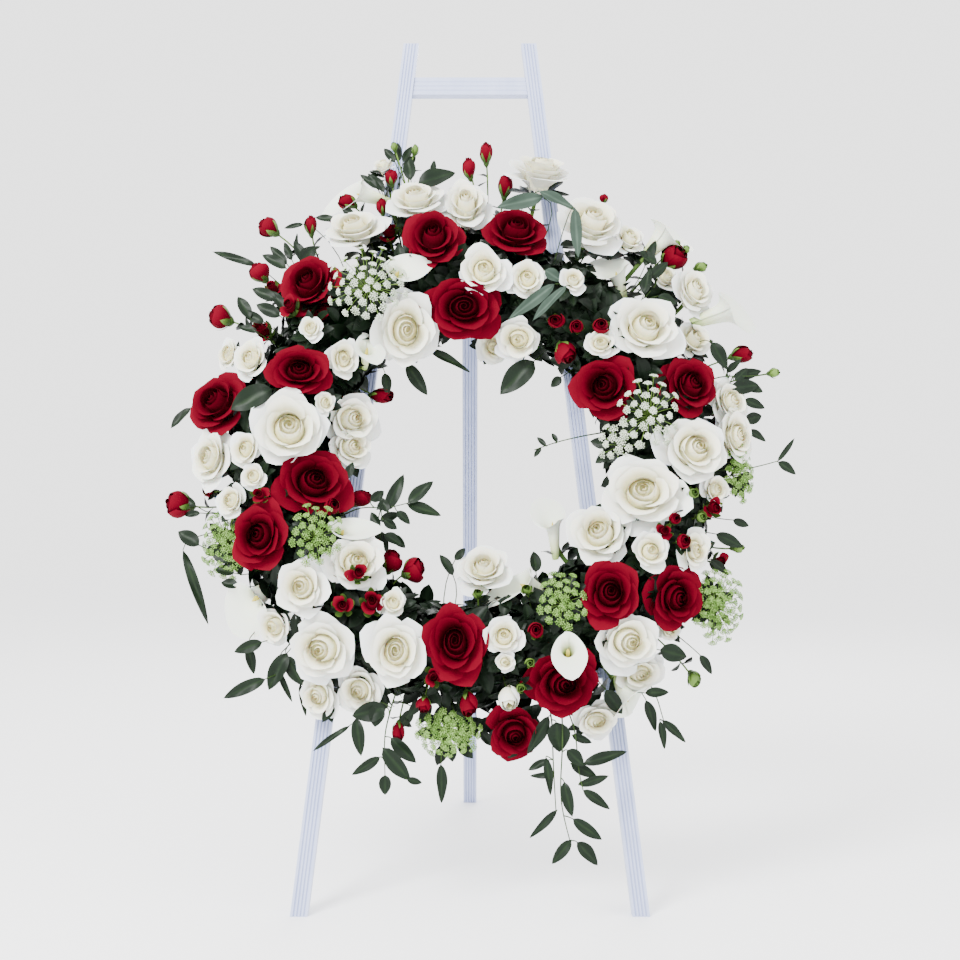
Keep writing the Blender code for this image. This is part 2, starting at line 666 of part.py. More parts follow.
def material(name):
    if name in bpy.data.materials:
        return bpy.data.materials[name]
    made = bpy.data.materials.new(name)
    made.use_nodes = True
    colour, roughness, metallic = MATERIALS[name]
    shader = made.node_tree.nodes["Principled BSDF"]
    shader.inputs["Base Color"].default_value = (*colour, 1)
    shader.inputs["Roughness"].default_value = roughness
    shader.inputs["Metallic"].default_value = metallic
    made.diffuse_color = (*colour, 1)
    return made


def mesh_object(name, points, faces, finish, parent=None, collection=None):
    points, faces = facing_out(points, faces)
    mesh = bpy.data.meshes.new(name)
    mesh.from_pydata([tuple(p) for p in points], [], [tuple(f) for f in faces])
    mesh.materials.append(material(finish))
    made = bpy.data.objects.new(name, mesh)
    (collection or bpy.context.scene.collection).objects.link(made)
    made.parent = parent
    return made


def applied(target):
    """Puts the evaluated mesh in place of the modifiers."""
    graph = bpy.context.evaluated_depsgraph_get()
    baked = bpy.data.meshes.new_from_object(target.evaluated_get(graph))
    target.modifiers.clear()
    target.data = baked
    return target


def combined(target, operation, shapes, finish, solver="MANIFOLD"):
    """One Boolean of the target with a collection of closed shapes, applied, with the shapes then removed."""
    if not shapes:
        return target
    group = bpy.data.collections.new("operands")
    bpy.context.scene.collection.children.link(group)
    for k, (points, faces) in enumerate(shapes):
        mesh_object(f"operand_{k}", points, faces, finish, target.parent, group)
    bpy.context.view_layer.update()
    modifier = target.modifiers.new(operation.lower(), "BOOLEAN")
    modifier.operation = operation
    modifier.solver = solver
    modifier.operand_type = "COLLECTION"
    modifier.collection = group
    applied(target)
    for operand in list(group.objects):
        bpy.data.objects.remove(operand)
    bpy.data.collections.remove(group)
    return target


def largest_piece(target):
    """Drops loose scraps and sealed hollows: only the surface with most faces stays, joined across its edges."""
    mesh = target.data
    owner = list(range(len(mesh.polygons)))

    def root(face):
        while owner[face] != face:
            owner[face] = owner[owner[face]]
            face = owner[face]
        return face

    sides = {}
    for polygon in mesh.polygons:
        for key in polygon.edge_keys:
            sides.setdefault(key, []).append(polygon.index)
    for pair in sides.values():
        if len(pair) == 2:
            owner[root(pair[0])] = root(pair[1])
    pieces = {}
    for polygon in mesh.polygons:
        pieces.setdefault(root(polygon.index), []).append(tuple(polygon.vertices))
    if len(pieces) < 2:
        return
    faces = max(pieces.values(), key=len)
    used = sorted({v for face in faces for v in face})
    number = {v: k for k, v in enumerate(used)}
    fresh = bpy.data.meshes.new(target.name)
    fresh.from_pydata(
        [tuple(mesh.vertices[v].co) for v in used], [], [tuple(number[v] for v in face) for face in faces]
    )
    fresh.materials.append(mesh.materials[0])
    target.data = fresh


def block(low, high):
    """(points, faces) of a box between two corners."""
    (x0, y0, z0), (x1, y1, z1) = low, high
    points = [(x, y, z) for z in (z0, z1) for y in (y0, y1) for x in (x0, x1)]
    faces = [(0, 2, 3, 1), (4, 5, 7, 6), (0, 1, 5, 4), (2, 6, 7, 3), (0, 4, 6, 2), (1, 3, 7, 5)]
    return points, faces


def signed_volume(points, faces):
    total = 0.0
    for face in faces:
        for k in range(1, len(face) - 1):
            a, b, c = (Vector(points[face[i]]) for i in (0, k, k + 1))
            total += a.dot(b.cross(c)) / 6
    return total


def facing_out(points, faces):
    return (points, faces) if signed_volume(points, faces) > 0 else (points, [tuple(reversed(f)) for f in faces])


def prism(outline, place):
    """(points, faces) of an outline, counter-clockwise from its far end, carried between two ends by place(u, v, end)."""
    count = len(outline)
    points = [place(u, v, end) for end in (0, 1) for u, v in outline]
    faces = [tuple(reversed(range(count))), tuple(range(count, 2 * count))]
    faces += [(k, (k + 1) % count, count + (k + 1) % count, count + k) for k in range(count)]
    return points, faces


def reeded(width, depth, reeds, groove_depth, groove_half):
    """Outline of a moulding, counter-clockwise, its front at v = 0 with V grooves between the reeds."""
    outline = [(-width / 2, -depth), (width / 2, -depth), (width / 2, 0)]
    for k in range(reeds - 1, 0, -1):
        middle = width * (k / reeds - 0.5)
        outline += [(middle + groove_half, 0), (middle, -groove_depth), (middle - groove_half, 0)]
    outline.append((-width / 2, 0))
    return outline


def empty(name, parent, location, angle):
    made = bpy.data.objects.new(name, None)
    bpy.context.scene.collection.objects.link(made)
    made.parent = parent
    made.location = location
    made.rotation_euler = (angle, 0, 0)
    return made


# Easel

stand = empty("stand", None, (0, 0, 0), 0)
easel = empty("easel_frame", stand, (0, 0, 0), math.pi / 2 - LEAN)
wreath = empty("wreath_frame", easel, (0, WREATH_Y, 0), 0)


def leg_x(y):
    """Half spread of the front legs' middles at a distance up the slope."""
    return FOOT_HALF_SPREAD + (TOP_HALF_SPREAD - FOOT_HALF_SPREAD) * y / LEG_LENGTH


def rail_end(y, more=0.0):
    """Half length of a rail at its height, up to the legs' inner faces."""
    return leg_x(y) - LEG_WIDTH / 2 / math.cos(SPLAY) - GAP + more


RAILS = {
    "top_rail": (TOP_RAIL_Y, RAIL_HEIGHT),
    "hinge_rail": (HINGE_RAIL_Y, HINGE_RAIL_HEIGHT),
    "lower_rail": (LOWER_RAIL_Y, RAIL_HEIGHT),
}


def tenon(y, slack):
    """The tongue through both ends of a rail, with slack all round for its mortises."""
    z = -RAIL_SETBACK - RAIL_DEPTH / 2
    half_height, half_depth = TENON_HEIGHT / 2 + slack, TENON_DEPTH / 2 + slack
    outline = [(y - half_height, z - half_depth), (y - half_height, z + half_depth),
               (y + half_height, z + half_depth), (y + half_height, z - half_depth)]
    return prism(outline, lambda u, v, end: ((2 * end - 1) * rail_end(u, TENON_LENGTH + slack), u, v))


def front_leg(name, side):
    def place(u, v, end):
        y = LEG_LENGTH if end else -v * math.tan(LEAN)
        return (side * leg_x(y) + u / math.cos(SPLAY), y, v)

    outline = reeded(LEG_WIDTH, LEG_DEPTH, REEDS, GROOVE_DEPTH, GROOVE_HALF_WIDTH)
    points, faces = prism(outline, place)
    faces = [tuple(reversed(face)) for face in faces]
    leg = mesh_object(name, points, faces, "white_paint", easel)
    return combined(leg, "DIFFERENCE", [tenon(y, GAP) for y, _ in RAILS.values()], "white_paint", "EXACT")


def rail(name, y, height):
    outline = [
        (u + y, v - RAIL_SETBACK)
        for u, v in reeded(height, RAIL_DEPTH, 4, RAIL_GROOVE_DEPTH, GROOVE_HALF_WIDTH)
    ]
    outline.reverse()
    points, faces = prism(outline, lambda u, v, end: ((2 * end - 1) * rail_end(u), u, v))
    made = mesh_object(name, points, faces, "white_paint", easel)
    return combined(made, "UNION", [tenon(y, 0)], "white_paint", "EXACT")


front_leg("front_leg_left", -1)
front_leg("front_leg_right", 1)
for rail_name, (rail_y, rail_height) in RAILS.items():
    rail(rail_name, rail_y, rail_height)

# Hinge: the pin's line runs along x behind the hinge rail. The rear leg's bevelled head ends on the rail's back
# when the leg is open, which is its stop.
PIN_Y = HINGE_RAIL_Y - 0.003
PIN_Z = -RAIL_SETBACK - RAIL_DEPTH - GAP - LEAF_THICKNESS - LEAF_OFFSET
pin_world_y = PIN_Y * math.sin(LEAN) - PIN_Z * math.cos(LEAN)
pin_world_z = PIN_Y * math.cos(LEAN) + PIN_Z * math.sin(LEAN)
REAR_LEAN = math.atan2(REAR_FOOT_Y - pin_world_y, pin_world_z)
OPENING = LEAN + REAR_LEAN

fixed_side = empty("hinge_fixed_side", easel, (0, PIN_Y, PIN_Z), 0)
moving_side = empty("hinge_moving_side", stand, (0, pin_world_y, pin_world_z), math.pi / 2 + REAR_LEAN)


def barrel(radius, x0, x1, sides=8):
    """(points, faces) of a cylinder along x through the pin's line."""
    turns = [2 * math.pi * (k + 0.5) / sides for k in range(sides)]
    outline = [(radius * math.cos(t), radius * math.sin(t)) for t in turns]
    return prism(outline, lambda u, v, end: ((x0, x1)[end], u, v))


def leaf_plate(low_z, high_z, tabs):
    """Blocks of a hinge leaf: the plate below the knuckles, and a tab up to each knuckle."""
    half = LEAF_WIDTH / 2
    shoulder = -KNUCKLE_RADIUS - 0.0007
    plates = [block((-half, -LEAF_LENGTH, low_z), (half, shoulder, high_z))]
    return plates + [block((x0, shoulder - 0.001, low_z), (x1, 0.0, high_z)) for x0, x1 in tabs]


def hinge_leaf(name, parent, low_z, high_z, knuckles, pin=None, bore=None):
    shapes = [barrel(KNUCKLE_RADIUS, x0, x1) for x0, x1 in knuckles]
    shapes += leaf_plate(low_z, high_z, knuckles)
    if pin:
        shapes.append(barrel(PIN_RADIUS, *pin))
    made = mesh_object(name, *shapes[0], "zinc_steel", parent)
    combined(made, "UNION", shapes[1:], "zinc_steel", "EXACT")
    if bore:
        combined(made, "DIFFERENCE", [barrel(BORE_RADIUS, *bore)], "zinc_steel", "EXACT")
    return made


half_leaf = LEAF_WIDTH / 2
hinge_leaf("hinge_leaf_rail", fixed_side, LEAF_OFFSET, LEAF_OFFSET + LEAF_THICKNESS,
           [(-KNUCKLE_HALF, KNUCKLE_HALF)], bore=(-0.006, 0.006))
hinge_leaf("hinge_leaf_leg", moving_side, -LEAF_OFFSET - LEAF_THICKNESS, -LEAF_OFFSET,
           [(-half_leaf, -KNUCKLE_HALF - GAP), (KNUCKLE_HALF + GAP, half_leaf)],
           pin=(-half_leaf + 0.001, half_leaf - 0.001))


def rear_leg():
    front = -LEAF_OFFSET - LEAF_THICKNESS - GAP
    rail_back = LEAF_OFFSET + LEAF_THICKNESS + GAP

    def place(u, v, end):
        z = v + front
        if end:
            return (u, (rail_back - GAP - z * math.cos(OPENING)) / math.sin(OPENING), z)
        return (u, -(pin_world_z - z * math.sin(REAR_LEAN)) / math.cos(REAR_LEAN), z)

    outline = reeded(LEG_WIDTH, LEG_DEPTH, REEDS, GROOVE_DEPTH, GROOVE_HALF_WIDTH)
    points, faces = prism(outline, place)
    return mesh_object("rear_leg", points, [tuple(reversed(f)) for f in faces], "white_paint", moving_side)


rear_leg()

# Bracket: a strap screwed to the hinge rail, its arm under the inner edge of the wreath's tray
TRAY_INNER = RING_RADIUS - FOAM_HALF_WIDTH - GAP - TRAY_WALL
arm_top = WREATH_Y + TRAY_INNER - BRACKET_WIDTH / 2 * math.tan(math.pi / RING_SIDES) - GAP
strap_z = -RAIL_SETBACK + GAP
bracket_shape = prism(
    [
        (arm_top - BRACKET_THICKNESS, strap_z),
        (arm_top - BRACKET_THICKNESS, BRACKET_ARM),
        (arm_top, BRACKET_ARM),
        (arm_top, strap_z + 0.002),
        (HINGE_RAIL_Y + 0.016, strap_z + 0.002),
        (HINGE_RAIL_Y + 0.016, strap_z),
    ],
    lambda u, v, end: ((end - 0.5) * BRACKET_WIDTH, u, v),
)
bracket = mesh_object("wreath_bracket", *facing_out(*bracket_shape), "zinc_steel", easel)

# Tray, foam and mats: closed outlines of (offset from the ring's centre line, height), carried round the ring


def swept(outline, first, last, sides, whole):
    """(points, faces) of an outline carried round the ring between two angles, or all the way."""
    steps = sides if whole else sides + 1
    count = len(outline)
    points = []
    for k in range(steps):
        turn = first + (last - first) * k / sides
        points += [tuple(section_point(turn, offset, height)) for offset, height in outline]
    faces = []
    for k in range(sides):
        a, b = k * count, ((k + 1) % steps) * count
        for i in range(count):
            j = (i + 1) % count
            faces.append((a + i, a + j, b + j, b + i))
    if not whole:
        faces.append(tuple(reversed(range(count))))
        faces.append(tuple(range((steps - 1) * count, steps * count)))
    return points, faces


tray_out = FOAM_HALF_WIDTH + GAP + TRAY_WALL
tray_in = FOAM_HALF_WIDTH + GAP
TRAY_OUTLINE = [(-tray_out, GAP), (-tray_out, TRAY_RIM), (-tray_in, TRAY_RIM), (-tray_in, GAP + TRAY_WALL),
                (tray_in, GAP + TRAY_WALL), (tray_in, TRAY_RIM), (tray_out, TRAY_RIM), (tray_out, GAP)]
foam_floor = 2 * GAP + TRAY_WALL
FOAM_OUTLINE = [(-FOAM_HALF_WIDTH, foam_floor), (-FOAM_HALF_WIDTH, 0.048), (-0.030, FOAM_FRONT),
                (0.030, FOAM_FRONT), (FOAM_HALF_WIDTH, 0.048), (FOAM_HALF_WIDTH, foam_floor)]


def mat_outline():
    near, far = FOAM_HALF_WIDTH + MAT_GAP, FOAM_HALF_WIDTH + MAT_GAP + MAT_THICKNESS
    low, high = FOAM_FRONT + MAT_GAP, FOAM_FRONT + MAT_GAP + MAT_THICKNESS
    return [(near, 0.018), (near, 0.0484), (0.0304, low), (-0.0304, low), (-0.038, 0.0535),
            (-0.0435, 0.060), (-0.034, high), (0.034, high), (far, 0.052), (far, 0.018)]


obstacles = Obstacles()
tray_shape = facing_out(*swept(TRAY_OUTLINE, 0, 2 * math.pi, RING_SIDES, True))
foam_shape = facing_out(*swept(FOAM_OUTLINE, 0, 2 * math.pi, RING_SIDES, True))
mesh_object("foam_tray", *tray_shape, "green_plastic", wreath)
obstacles.add("foam_tray", *tray_shape)
arm_points = [(x, y - WREATH_Y, z) for x, y, z in (v.co for v in bracket.data.vertices)]
obstacles.add("wreath_bracket", arm_points, [tuple(p.vertices) for p in bracket.data.polygons])

mats = {}
sector_turn = {}
for sector in range(SECTORS):
    first = 2 * math.pi * sector / SECTORS
    step = 2 * math.pi / SECTORS
    trim = math.radians(0.15)
    name = f"greenery_{sector + 1:02d}"
    mats[name] = facing_out(*swept(mat_outline(), first + trim, first + step - trim, RING_SIDES // SECTORS, False))
    sector_turn[name] = first + step / 2


def greenery_of(point):
    turn = math.atan2(point.y, point.x) % (2 * math.pi)
    return f"greenery_{int(turn / (2 * math.pi / SECTORS)) + 1:02d}"


# Heads in place

rng = random.Random(7)
blooms = []
for group in (RED_ROSES, WHITE_HEADS, CALLAS):
    for node, heads in group.items():
        blooms += [Bloom(head, node, rng) for head in heads]
small = [Bloom(head, None, rng) for head in WHITE_ROSETTES + BUDS + GREEN_BUDS]
for bloom in small:
    bloom.node = greenery_of(bloom.middle)
share_planes(blooms + small)
for bloom in blooms + small:
    bloom.press()
    obstacles.add(bloom.owner, *pile(bloom.rings))

shapes = {}
cutters = []


def bends_gently(path, least):
    legs = [(b - a).normalized() for a, b in zip(path, path[1:])]
    return all(a.dot(b) > least for a, b in zip(legs, legs[1:]))


def wander(base, lead, radius, own, spots, spread, skip, least):
    """A path with one bend between the lead and any of the spots, or None."""
    luck = rng if least > 0 else random.Random(11)
    for _ in range(3000):
        spot = spots[min(len(spots) - 1, int(luck.random() ** 2 * len(spots)))]
        middle = lead.lerp(spot[0], luck.uniform(0.2, 0.8))
        middle += Vector([luck.uniform(-1, 1) for _ in range(3)]) * luck.uniform(0.01, spread)
        path = [base, lead, middle, *spot]
        if bends_gently(path, least) and obstacles.clear_path(path, radius, own, skip):
            return path
    return None


def way_to(base, direction, radius, own, spots, spread=0.05, skip=0.004):
    """A stem's path from a head's base, clear of all but its own, to one of the spots, nearest first. The lead
    straight out of the head is left out where the stem can turn at the base."""
    path = None
    for length, least in ((0.006, 0.1), (0.0008, 0.1), (0.004, -0.3)):
        lead = base - direction * length
        for spot in spots[:60]:
            straight = [base, lead, *spot]
            if bends_gently(straight, least) and obstacles.clear_path(straight, radius, own, skip):
                path = straight
                break
        path = path or wander(base, lead, radius, own, spots, spread, skip, least)
        if path:
            break
    if path:
        short = [path[0], *path[2:]]
        turn = (short[1] - base).normalized().dot(-direction)
        if turn > 0.5 and bends_gently(short, 0.1) and obstacles.clear_path(short, radius, own, skip):
            return short
    return path


def headed_stem(bloom, path, owner):
    """Keeps the stem's rings under the head's, as one closed shape, and returns the stem's rings from its foot."""
    radius = STEM_RADIUS[bloom.head.kind]
    rings = tube_rings(list(reversed(path)), radius, STEM_SIDES, bloom.axes[:, 0])
    shapes.setdefault(bloom.node, []).append(pile(rings + bloom.rings[1:]))
    obstacles.add(owner, *pile(rings))
    return rings


def hole_for(rings, slack=0.0006):
    """A cutter round a stem's rings, a little wider and longer at both ends."""
    middles = [ring.mean(axis=0) for ring in rings]
    wider = [m + (ring - m) * (1 + slack / np.linalg.norm(ring[0] - m)) for ring, m in zip(rings, middles)]
    down, up = middles[0] - middles[1], middles[-1] - middles[-2]
    wider[0] = wider[0] + down / np.linalg.norm(down) * 2 * slack
    wider[-1] = wider[-1] + up / np.linalg.norm(up) * 0.004
    return pile(wider)


def entry_choices(base):
    """Root choices that the head's base has in sight: not through the corner of the foam."""
    clear = []
    for entry, foot in root_choices(base, 2.0, 0.026):
        points = [base.lerp(entry, k / 12) for k in range(12)]
        offsets = [math.hypot(p.x, p.y) - RING_RADIUS for p in points]
        if all(abs(o) > FOAM_HALF_WIDTH - 0.002 or p.z > FOAM_FRONT - 0.002 for o, p in zip(offsets, points)):
            clear.append((entry, foot))
    return clear


main_stems = {}
for bloom in blooms:
    if bloom.node in main_stems:
        continue
    radius = STEM_RADIUS[bloom.head.kind]
    base = bloom.base()
    path = way_to(base, bloom.direction, radius, {bloom.owner, bloom.node}, entry_choices(base))
    main_stems[bloom.node] = path
    cutters.append(hole_for(headed_stem(bloom, path, bloom.node)))

obstacles.add("foam_ring", *foam_shape)
for name, mat in mats.items():
    obstacles.add(name, *mat)

leaders = {}
for bloom in blooms:
    if bloom.node not in leaders:
        leaders[bloom.node] = bloom
        continue
    leader = leaders[bloom.node]
    base = bloom.base()
    spots = [(leader.middle - leader.direction * leader.radius * depth,) for depth in (0.35, 0.15, 0.5, 0.0)]
    own = {bloom.owner, bloom.node, leader.owner}
    radius = STEM_RADIUS[bloom.head.kind]
    path = way_to(base, bloom.direction, radius, own, spots)
    headed_stem(bloom, path, bloom.node)


def mat_feet(base, node):
    """Places for a foot in the mat of a sector, nearest first."""
    return [(foot,) for _, foot in root_choices(base, 3.0, 0.0045, sector_turn[node], math.pi / SECTORS - 0.03)]


for bloom in small:
    base, way, radius = bloom.base(), bloom.direction, STEM_RADIUS[bloom.head.kind]
    own = {bloom.owner, bloom.node}
    path = way_to(base, way, radius, own, mat_feet(base, bloom.node), skip=0.003)
    headed_stem(bloom, path, bloom.owner)

# Sprigs and leaves

sprigs = []
for number, stem in enumerate(STEMS):
    owner = f"sprig {number}"
    path = [in_view(px, py, height / 1000)[0] for px, py, height in stem]
    node = greenery_of(path[0])
    best = None
    for attempt in range(400):
        shift = 0.00003 * attempt
        trial = [p + Vector((rng.uniform(-1, 1), rng.uniform(-1, 1), rng.uniform(-0.3, 1))) * shift for p in path]
        for (foot,) in mat_feet(trial[0], node)[:12]:
            if obstacles.clear_path([foot, *trial], 0.0013, {node}):
                best = [foot, *trial]
                break
        if best:
            break
    if best is None:
        raise ValueError(f"no place for sprig {number}")
    rings = tube_rings(best, 0.0013, 3, slope_across((best[1] - best[0]).normalized()))
    shapes.setdefault(node, []).append(pile(rings))
    obstacles.add(owner, *pile(rings))
    sprigs.append((owner, node, best))


def leaf_rings(base, tip, width, foot):
    """A stalk, then a blade with a raised middle, pointed at its end."""
    along = tip - base
    length = along.length
    along.normalize()
    side = along.cross(Vector((0, 0, 1))).normalized()
    face = side.cross(along).normalized()
    stations = []
    for share, wide, sag in ((0.36, 0.48, 0.02), (0.70, 0.34, -0.01)):
        middle = base + along * length * share + face * length * sag
        half = side * width * wide
        lift = face * 0.0006
        stations.append(np.array([middle + half - face * 0.12 * width, middle - lift,
                                  middle - half - face * 0.12 * width, middle + lift]))
    stalk = tube_rings([foot, base], 0.0009, 3, slope_across((base - foot).normalized()))
    if length < 0.04:
        stations = stations[:1]
    if (base - foot).length < 0.012:
        stalk = stalk[:1]
    return [*stalk, *stations, np.array([tip - face * 0.03 * length])]


for number, (px, py, tip_px, tip_py, width_px, height) in enumerate(LEAVES):
    base, scale = in_view(px, py, height / 1000)
    tip, _ = in_view(tip_px, tip_py, height / 1000 - 0.004)
    done = False
    for attempt in range(40):
        node = greenery_of(base)
        options = [
            ((spot - base).length, owner, home, spot)
            for owner, home, path in sprigs
            for a, b in zip(path, path[1:])
            for spot in (a.lerp(b, k / 6) for k in range(1, 6))
        ]
        options = sorted((o for o in options if 0.003 < o[0] < 0.03), key=lambda o: o[0])[:6]
        options += [(0, node, node, foot) for (foot,) in mat_feet(base, node)[:30]]
        size = max(0.7, 1 - 0.02 * attempt)
        for _, owner, home, spot in options:
            if (base - spot).dot(tip - base) < -0.3 * (base - spot).length * (tip - base).length:
                continue
            rings = leaf_rings(base, base.lerp(tip, size), width_px * scale * size, spot)
            leaf = pile(rings)
            if obstacles.clear_path([spot, base], 0.001, {owner}) and obstacles.clear_mesh(*leaf, {owner}):
                shapes.setdefault(home, []).append(leaf)
                obstacles.add(f"leaf {number}", *leaf)
                done = True
                break
        if done:
            break
        lift = Vector((rng.uniform(-1, 1), rng.uniform(-1, 1), rng.uniform(-0.5, 2))) * 0.003
        base, tip = base + lift, tip + lift
    if not done:
        raise ValueError(f"no place for leaf {px, py, tip_px, tip_py}")

# Lace: one lobed umbel of fused umbellets on a stalk

for px, py, half_width, half_height, layer, count in LACE:
    centre, scale = in_view(px, py, 0.1)
    out = max(-1.0, min(1.0, (math.hypot(centre.x, centre.y) - RING_RADIUS) / HEAD_RADIAL_REACH))
    height = 0.024 + SECTION_HEIGHT + HEAD_RISE * math.sqrt(1 - out * out) + layer / 1000
    centre, scale = in_view(px, py, height)
    node = greenery_of(centre)
    feet = mat_feet(centre, node)
    radial = Vector((centre.x, centre.y, 0)).normalized()
    direction = (radial * 0.4 * out + Vector((0, 0, 1))).normalized()
    frame = axes(direction, 0.0)
    lobes = max(6, count // 2)
    size = np.array([half_width * scale, half_height * scale, half_width * scale])
    turn = rng.uniform(0, 6)
    base_rings = [
        circle(3, 0.07, -0.50, turn),
        circle(lobes, 0.45, -0.18, turn),
        petal_rim(lobes, 0.86, 0.0, turn, rng, 2, 0.16, 0.06),
        circle(lobes, 0.52, 0.10, turn + 0.2),
        circle(3, 0.22, 0.20, turn),
    ]
    done = False
    for attempt in range(120):
        shrink = max(0.6, 1 - 0.01 * attempt)
        rings = [ring @ frame.T * size * shrink + np.array(centre) for ring in base_rings]
        if obstacles.clear_mesh(*pile(rings), {node}):
            base = Vector(rings[0].mean(axis=0))
            stalk = way_to(base, direction, 0.0014, {node}, feet, skip=0.003)
            if stalk:
                stem_rings = tube_rings(list(reversed(stalk)), 0.0014, 3, frame[:, 0])
                shape = pile(stem_rings[:-1] + rings)
                shapes.setdefault(node, []).append(shape)
                obstacles.add(f"lace {px, py}", *shape)
                done = True
                break
        centre = centre + Vector((rng.uniform(-1, 1), rng.uniform(-1, 1), 0.6)) * 0.0012
    if not done:
        raise ValueError(f"no place for lace {px, py}")

# Nodes

heads = []
for name, parts in sorted(shapes.items()):
    if name in mats:
        continue
    finish = "red_petals" if name.startswith("red") else "white_petals"
    made = mesh_object(name, *parts[0], finish, wreath)
    if len(parts) > 1:
        combined(made, "UNION", parts[1:], finish)
    largest_piece(made)
    heads.append(made)


def mesh_lists(target, swell=0.0):
    """(points, faces) of an object's mesh, with its surface moved outwards."""
    mesh = target.data
    normals = mesh.vertex_normals
    points = [tuple(v.co + normals[v.index].vector * swell) for v in mesh.vertices]
    return points, [tuple(p.vertices) for p in mesh.polygons]


foam = mesh_object("foam_ring", *foam_shape, "floral_foam", wreath)
combined(foam, "DIFFERENCE", cutters, "floral_foam")
for name, mat in mats.items():
    made = mesh_object(name, *mat, "foliage", wreath)
    combined(made, "UNION", shapes[name], "foliage")
    combined(made, "DIFFERENCE", cutters, "foliage")
    own_tree = BVHTree.FromPolygons(*mesh_lists(made))
    touching = [h for h in heads if own_tree.overlap(BVHTree.FromPolygons(*mesh_lists(h)))]
    for swell in (0.0001, 0.0004):
        combined(made, "DIFFERENCE", [mesh_lists(h, swell) for h in touching], "foliage")
    largest_piece(made)

# Every object in world coordinates, with the middle of the bounding box over the origin

bpy.context.view_layer.update()
solids = [o for o in bpy.context.scene.objects if o.type == "MESH"]
for solid in solids:
    place = solid.matrix_world.copy()
    solid.parent = None
    solid.matrix_world = Matrix.Identity(4)
    solid.data.transform(place)
for holder in [o for o in bpy.context.scene.objects if o.type == "EMPTY"]:
    bpy.data.objects.remove(holder)
corners = np.array([v.co for solid in solids for v in solid.data.vertices])
middle = (corners.min(axis=0) + corners.max(axis=0)) / 2
for solid in solids:
    solid.data.transform(Matrix.Translation((-middle[0], -middle[1], 0)))
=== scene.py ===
import math

import bpy
import numpy as np
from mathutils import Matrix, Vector


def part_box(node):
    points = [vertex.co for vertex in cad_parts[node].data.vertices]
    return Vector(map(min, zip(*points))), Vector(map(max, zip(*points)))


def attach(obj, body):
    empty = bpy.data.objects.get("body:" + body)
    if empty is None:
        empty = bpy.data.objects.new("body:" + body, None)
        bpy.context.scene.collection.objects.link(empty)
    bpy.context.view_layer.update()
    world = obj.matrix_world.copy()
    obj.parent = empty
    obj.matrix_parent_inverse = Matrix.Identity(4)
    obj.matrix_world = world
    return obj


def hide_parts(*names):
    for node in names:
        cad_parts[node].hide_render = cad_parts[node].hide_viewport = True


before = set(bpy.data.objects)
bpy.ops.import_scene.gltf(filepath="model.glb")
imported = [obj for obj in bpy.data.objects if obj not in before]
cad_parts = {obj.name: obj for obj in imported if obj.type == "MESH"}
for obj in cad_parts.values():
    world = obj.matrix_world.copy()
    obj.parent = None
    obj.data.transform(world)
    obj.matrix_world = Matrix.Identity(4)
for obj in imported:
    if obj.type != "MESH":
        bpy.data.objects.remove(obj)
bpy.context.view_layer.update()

# The floor and the light. The wreath stands on a plain pale floor under soft studio light: one wide light
# from the upper left, a weaker one from the right, one from behind, and a bright, even surround.
FLOOR_SIZE = 14.0
FLOOR_COLOUR = "fcfcfd"


def linear(colour):
    """An sRGB hex colour as linear red, green, blue and alpha."""
    shares = np.array([int(colour[k:k + 2], 16) / 255 for k in (0, 2, 4)])
    low, high = shares / 12.92, ((shares + 0.055) / 1.055) ** 2.4
    return (*np.where(shares <= 0.04045, low, high).tolist(), 1.0)


def node(tree, kind, settings=None, **links):
    """Adds a node. Settings are its properties and, by input name or number, its values; the stops of a
    colour ramp are pairs of a place and an sRGB hex. A link gives the socket that feeds the input of that
    name, with spaces as underscores, or of that number after an n."""
    added = tree.nodes.new(kind)
    for key, value in (settings or {}).items():
        if key == "stops":
            elements = added.color_ramp.elements
            while len(elements) < len(value):
                elements.new(0.5)
            for element, (place, colour) in zip(elements, value):
                element.position, element.color = place, linear(colour)
        elif isinstance(key, int) or key in added.inputs:
            added.inputs[key].default_value = value
        else:
            setattr(added, key, value)
    for key, socket in links.items():
        where = int(key[1:]) if key[0] == "n" and key[1:].isdigit() else key.replace("_", " ")
        tree.links.new(socket, added.inputs[where])
    return added


def material(name, **settings):
    """A new material with its shader's settings; returns it with its tree and shader."""
    made = bpy.data.materials.new(name)
    made.use_nodes = True
    tree = made.node_tree
    shader = tree.nodes["Principled BSDF"]
    for key, value in settings.items():
        shader.inputs[key.replace("_", " ")].default_value = value
    return made, tree, shader


floor_mesh = bpy.data.meshes.new("floor")
half = FLOOR_SIZE / 2
corners = [(-half, -half, 0), (half, -half, 0), (half, half, 0), (-half, half, 0)]
floor_mesh.from_pydata(corners, [], [(0, 1, 2, 3)])
floor = bpy.data.objects.new("floor", floor_mesh)
bpy.context.scene.collection.objects.link(floor)
floor_finish, tree, shader = material("pale_floor", Roughness=0.8, Base_Color=linear(FLOOR_COLOUR))
floor_mesh.materials.append(floor_finish)

surround = bpy.data.worlds.new("studio")
surround.use_nodes = True
surround.node_tree.nodes["Background"].inputs["Color"].default_value = (1.0, 1.0, 1.0, 1.0)
surround.node_tree.nodes["Background"].inputs["Strength"].default_value = 2.7
bpy.context.scene.world = surround

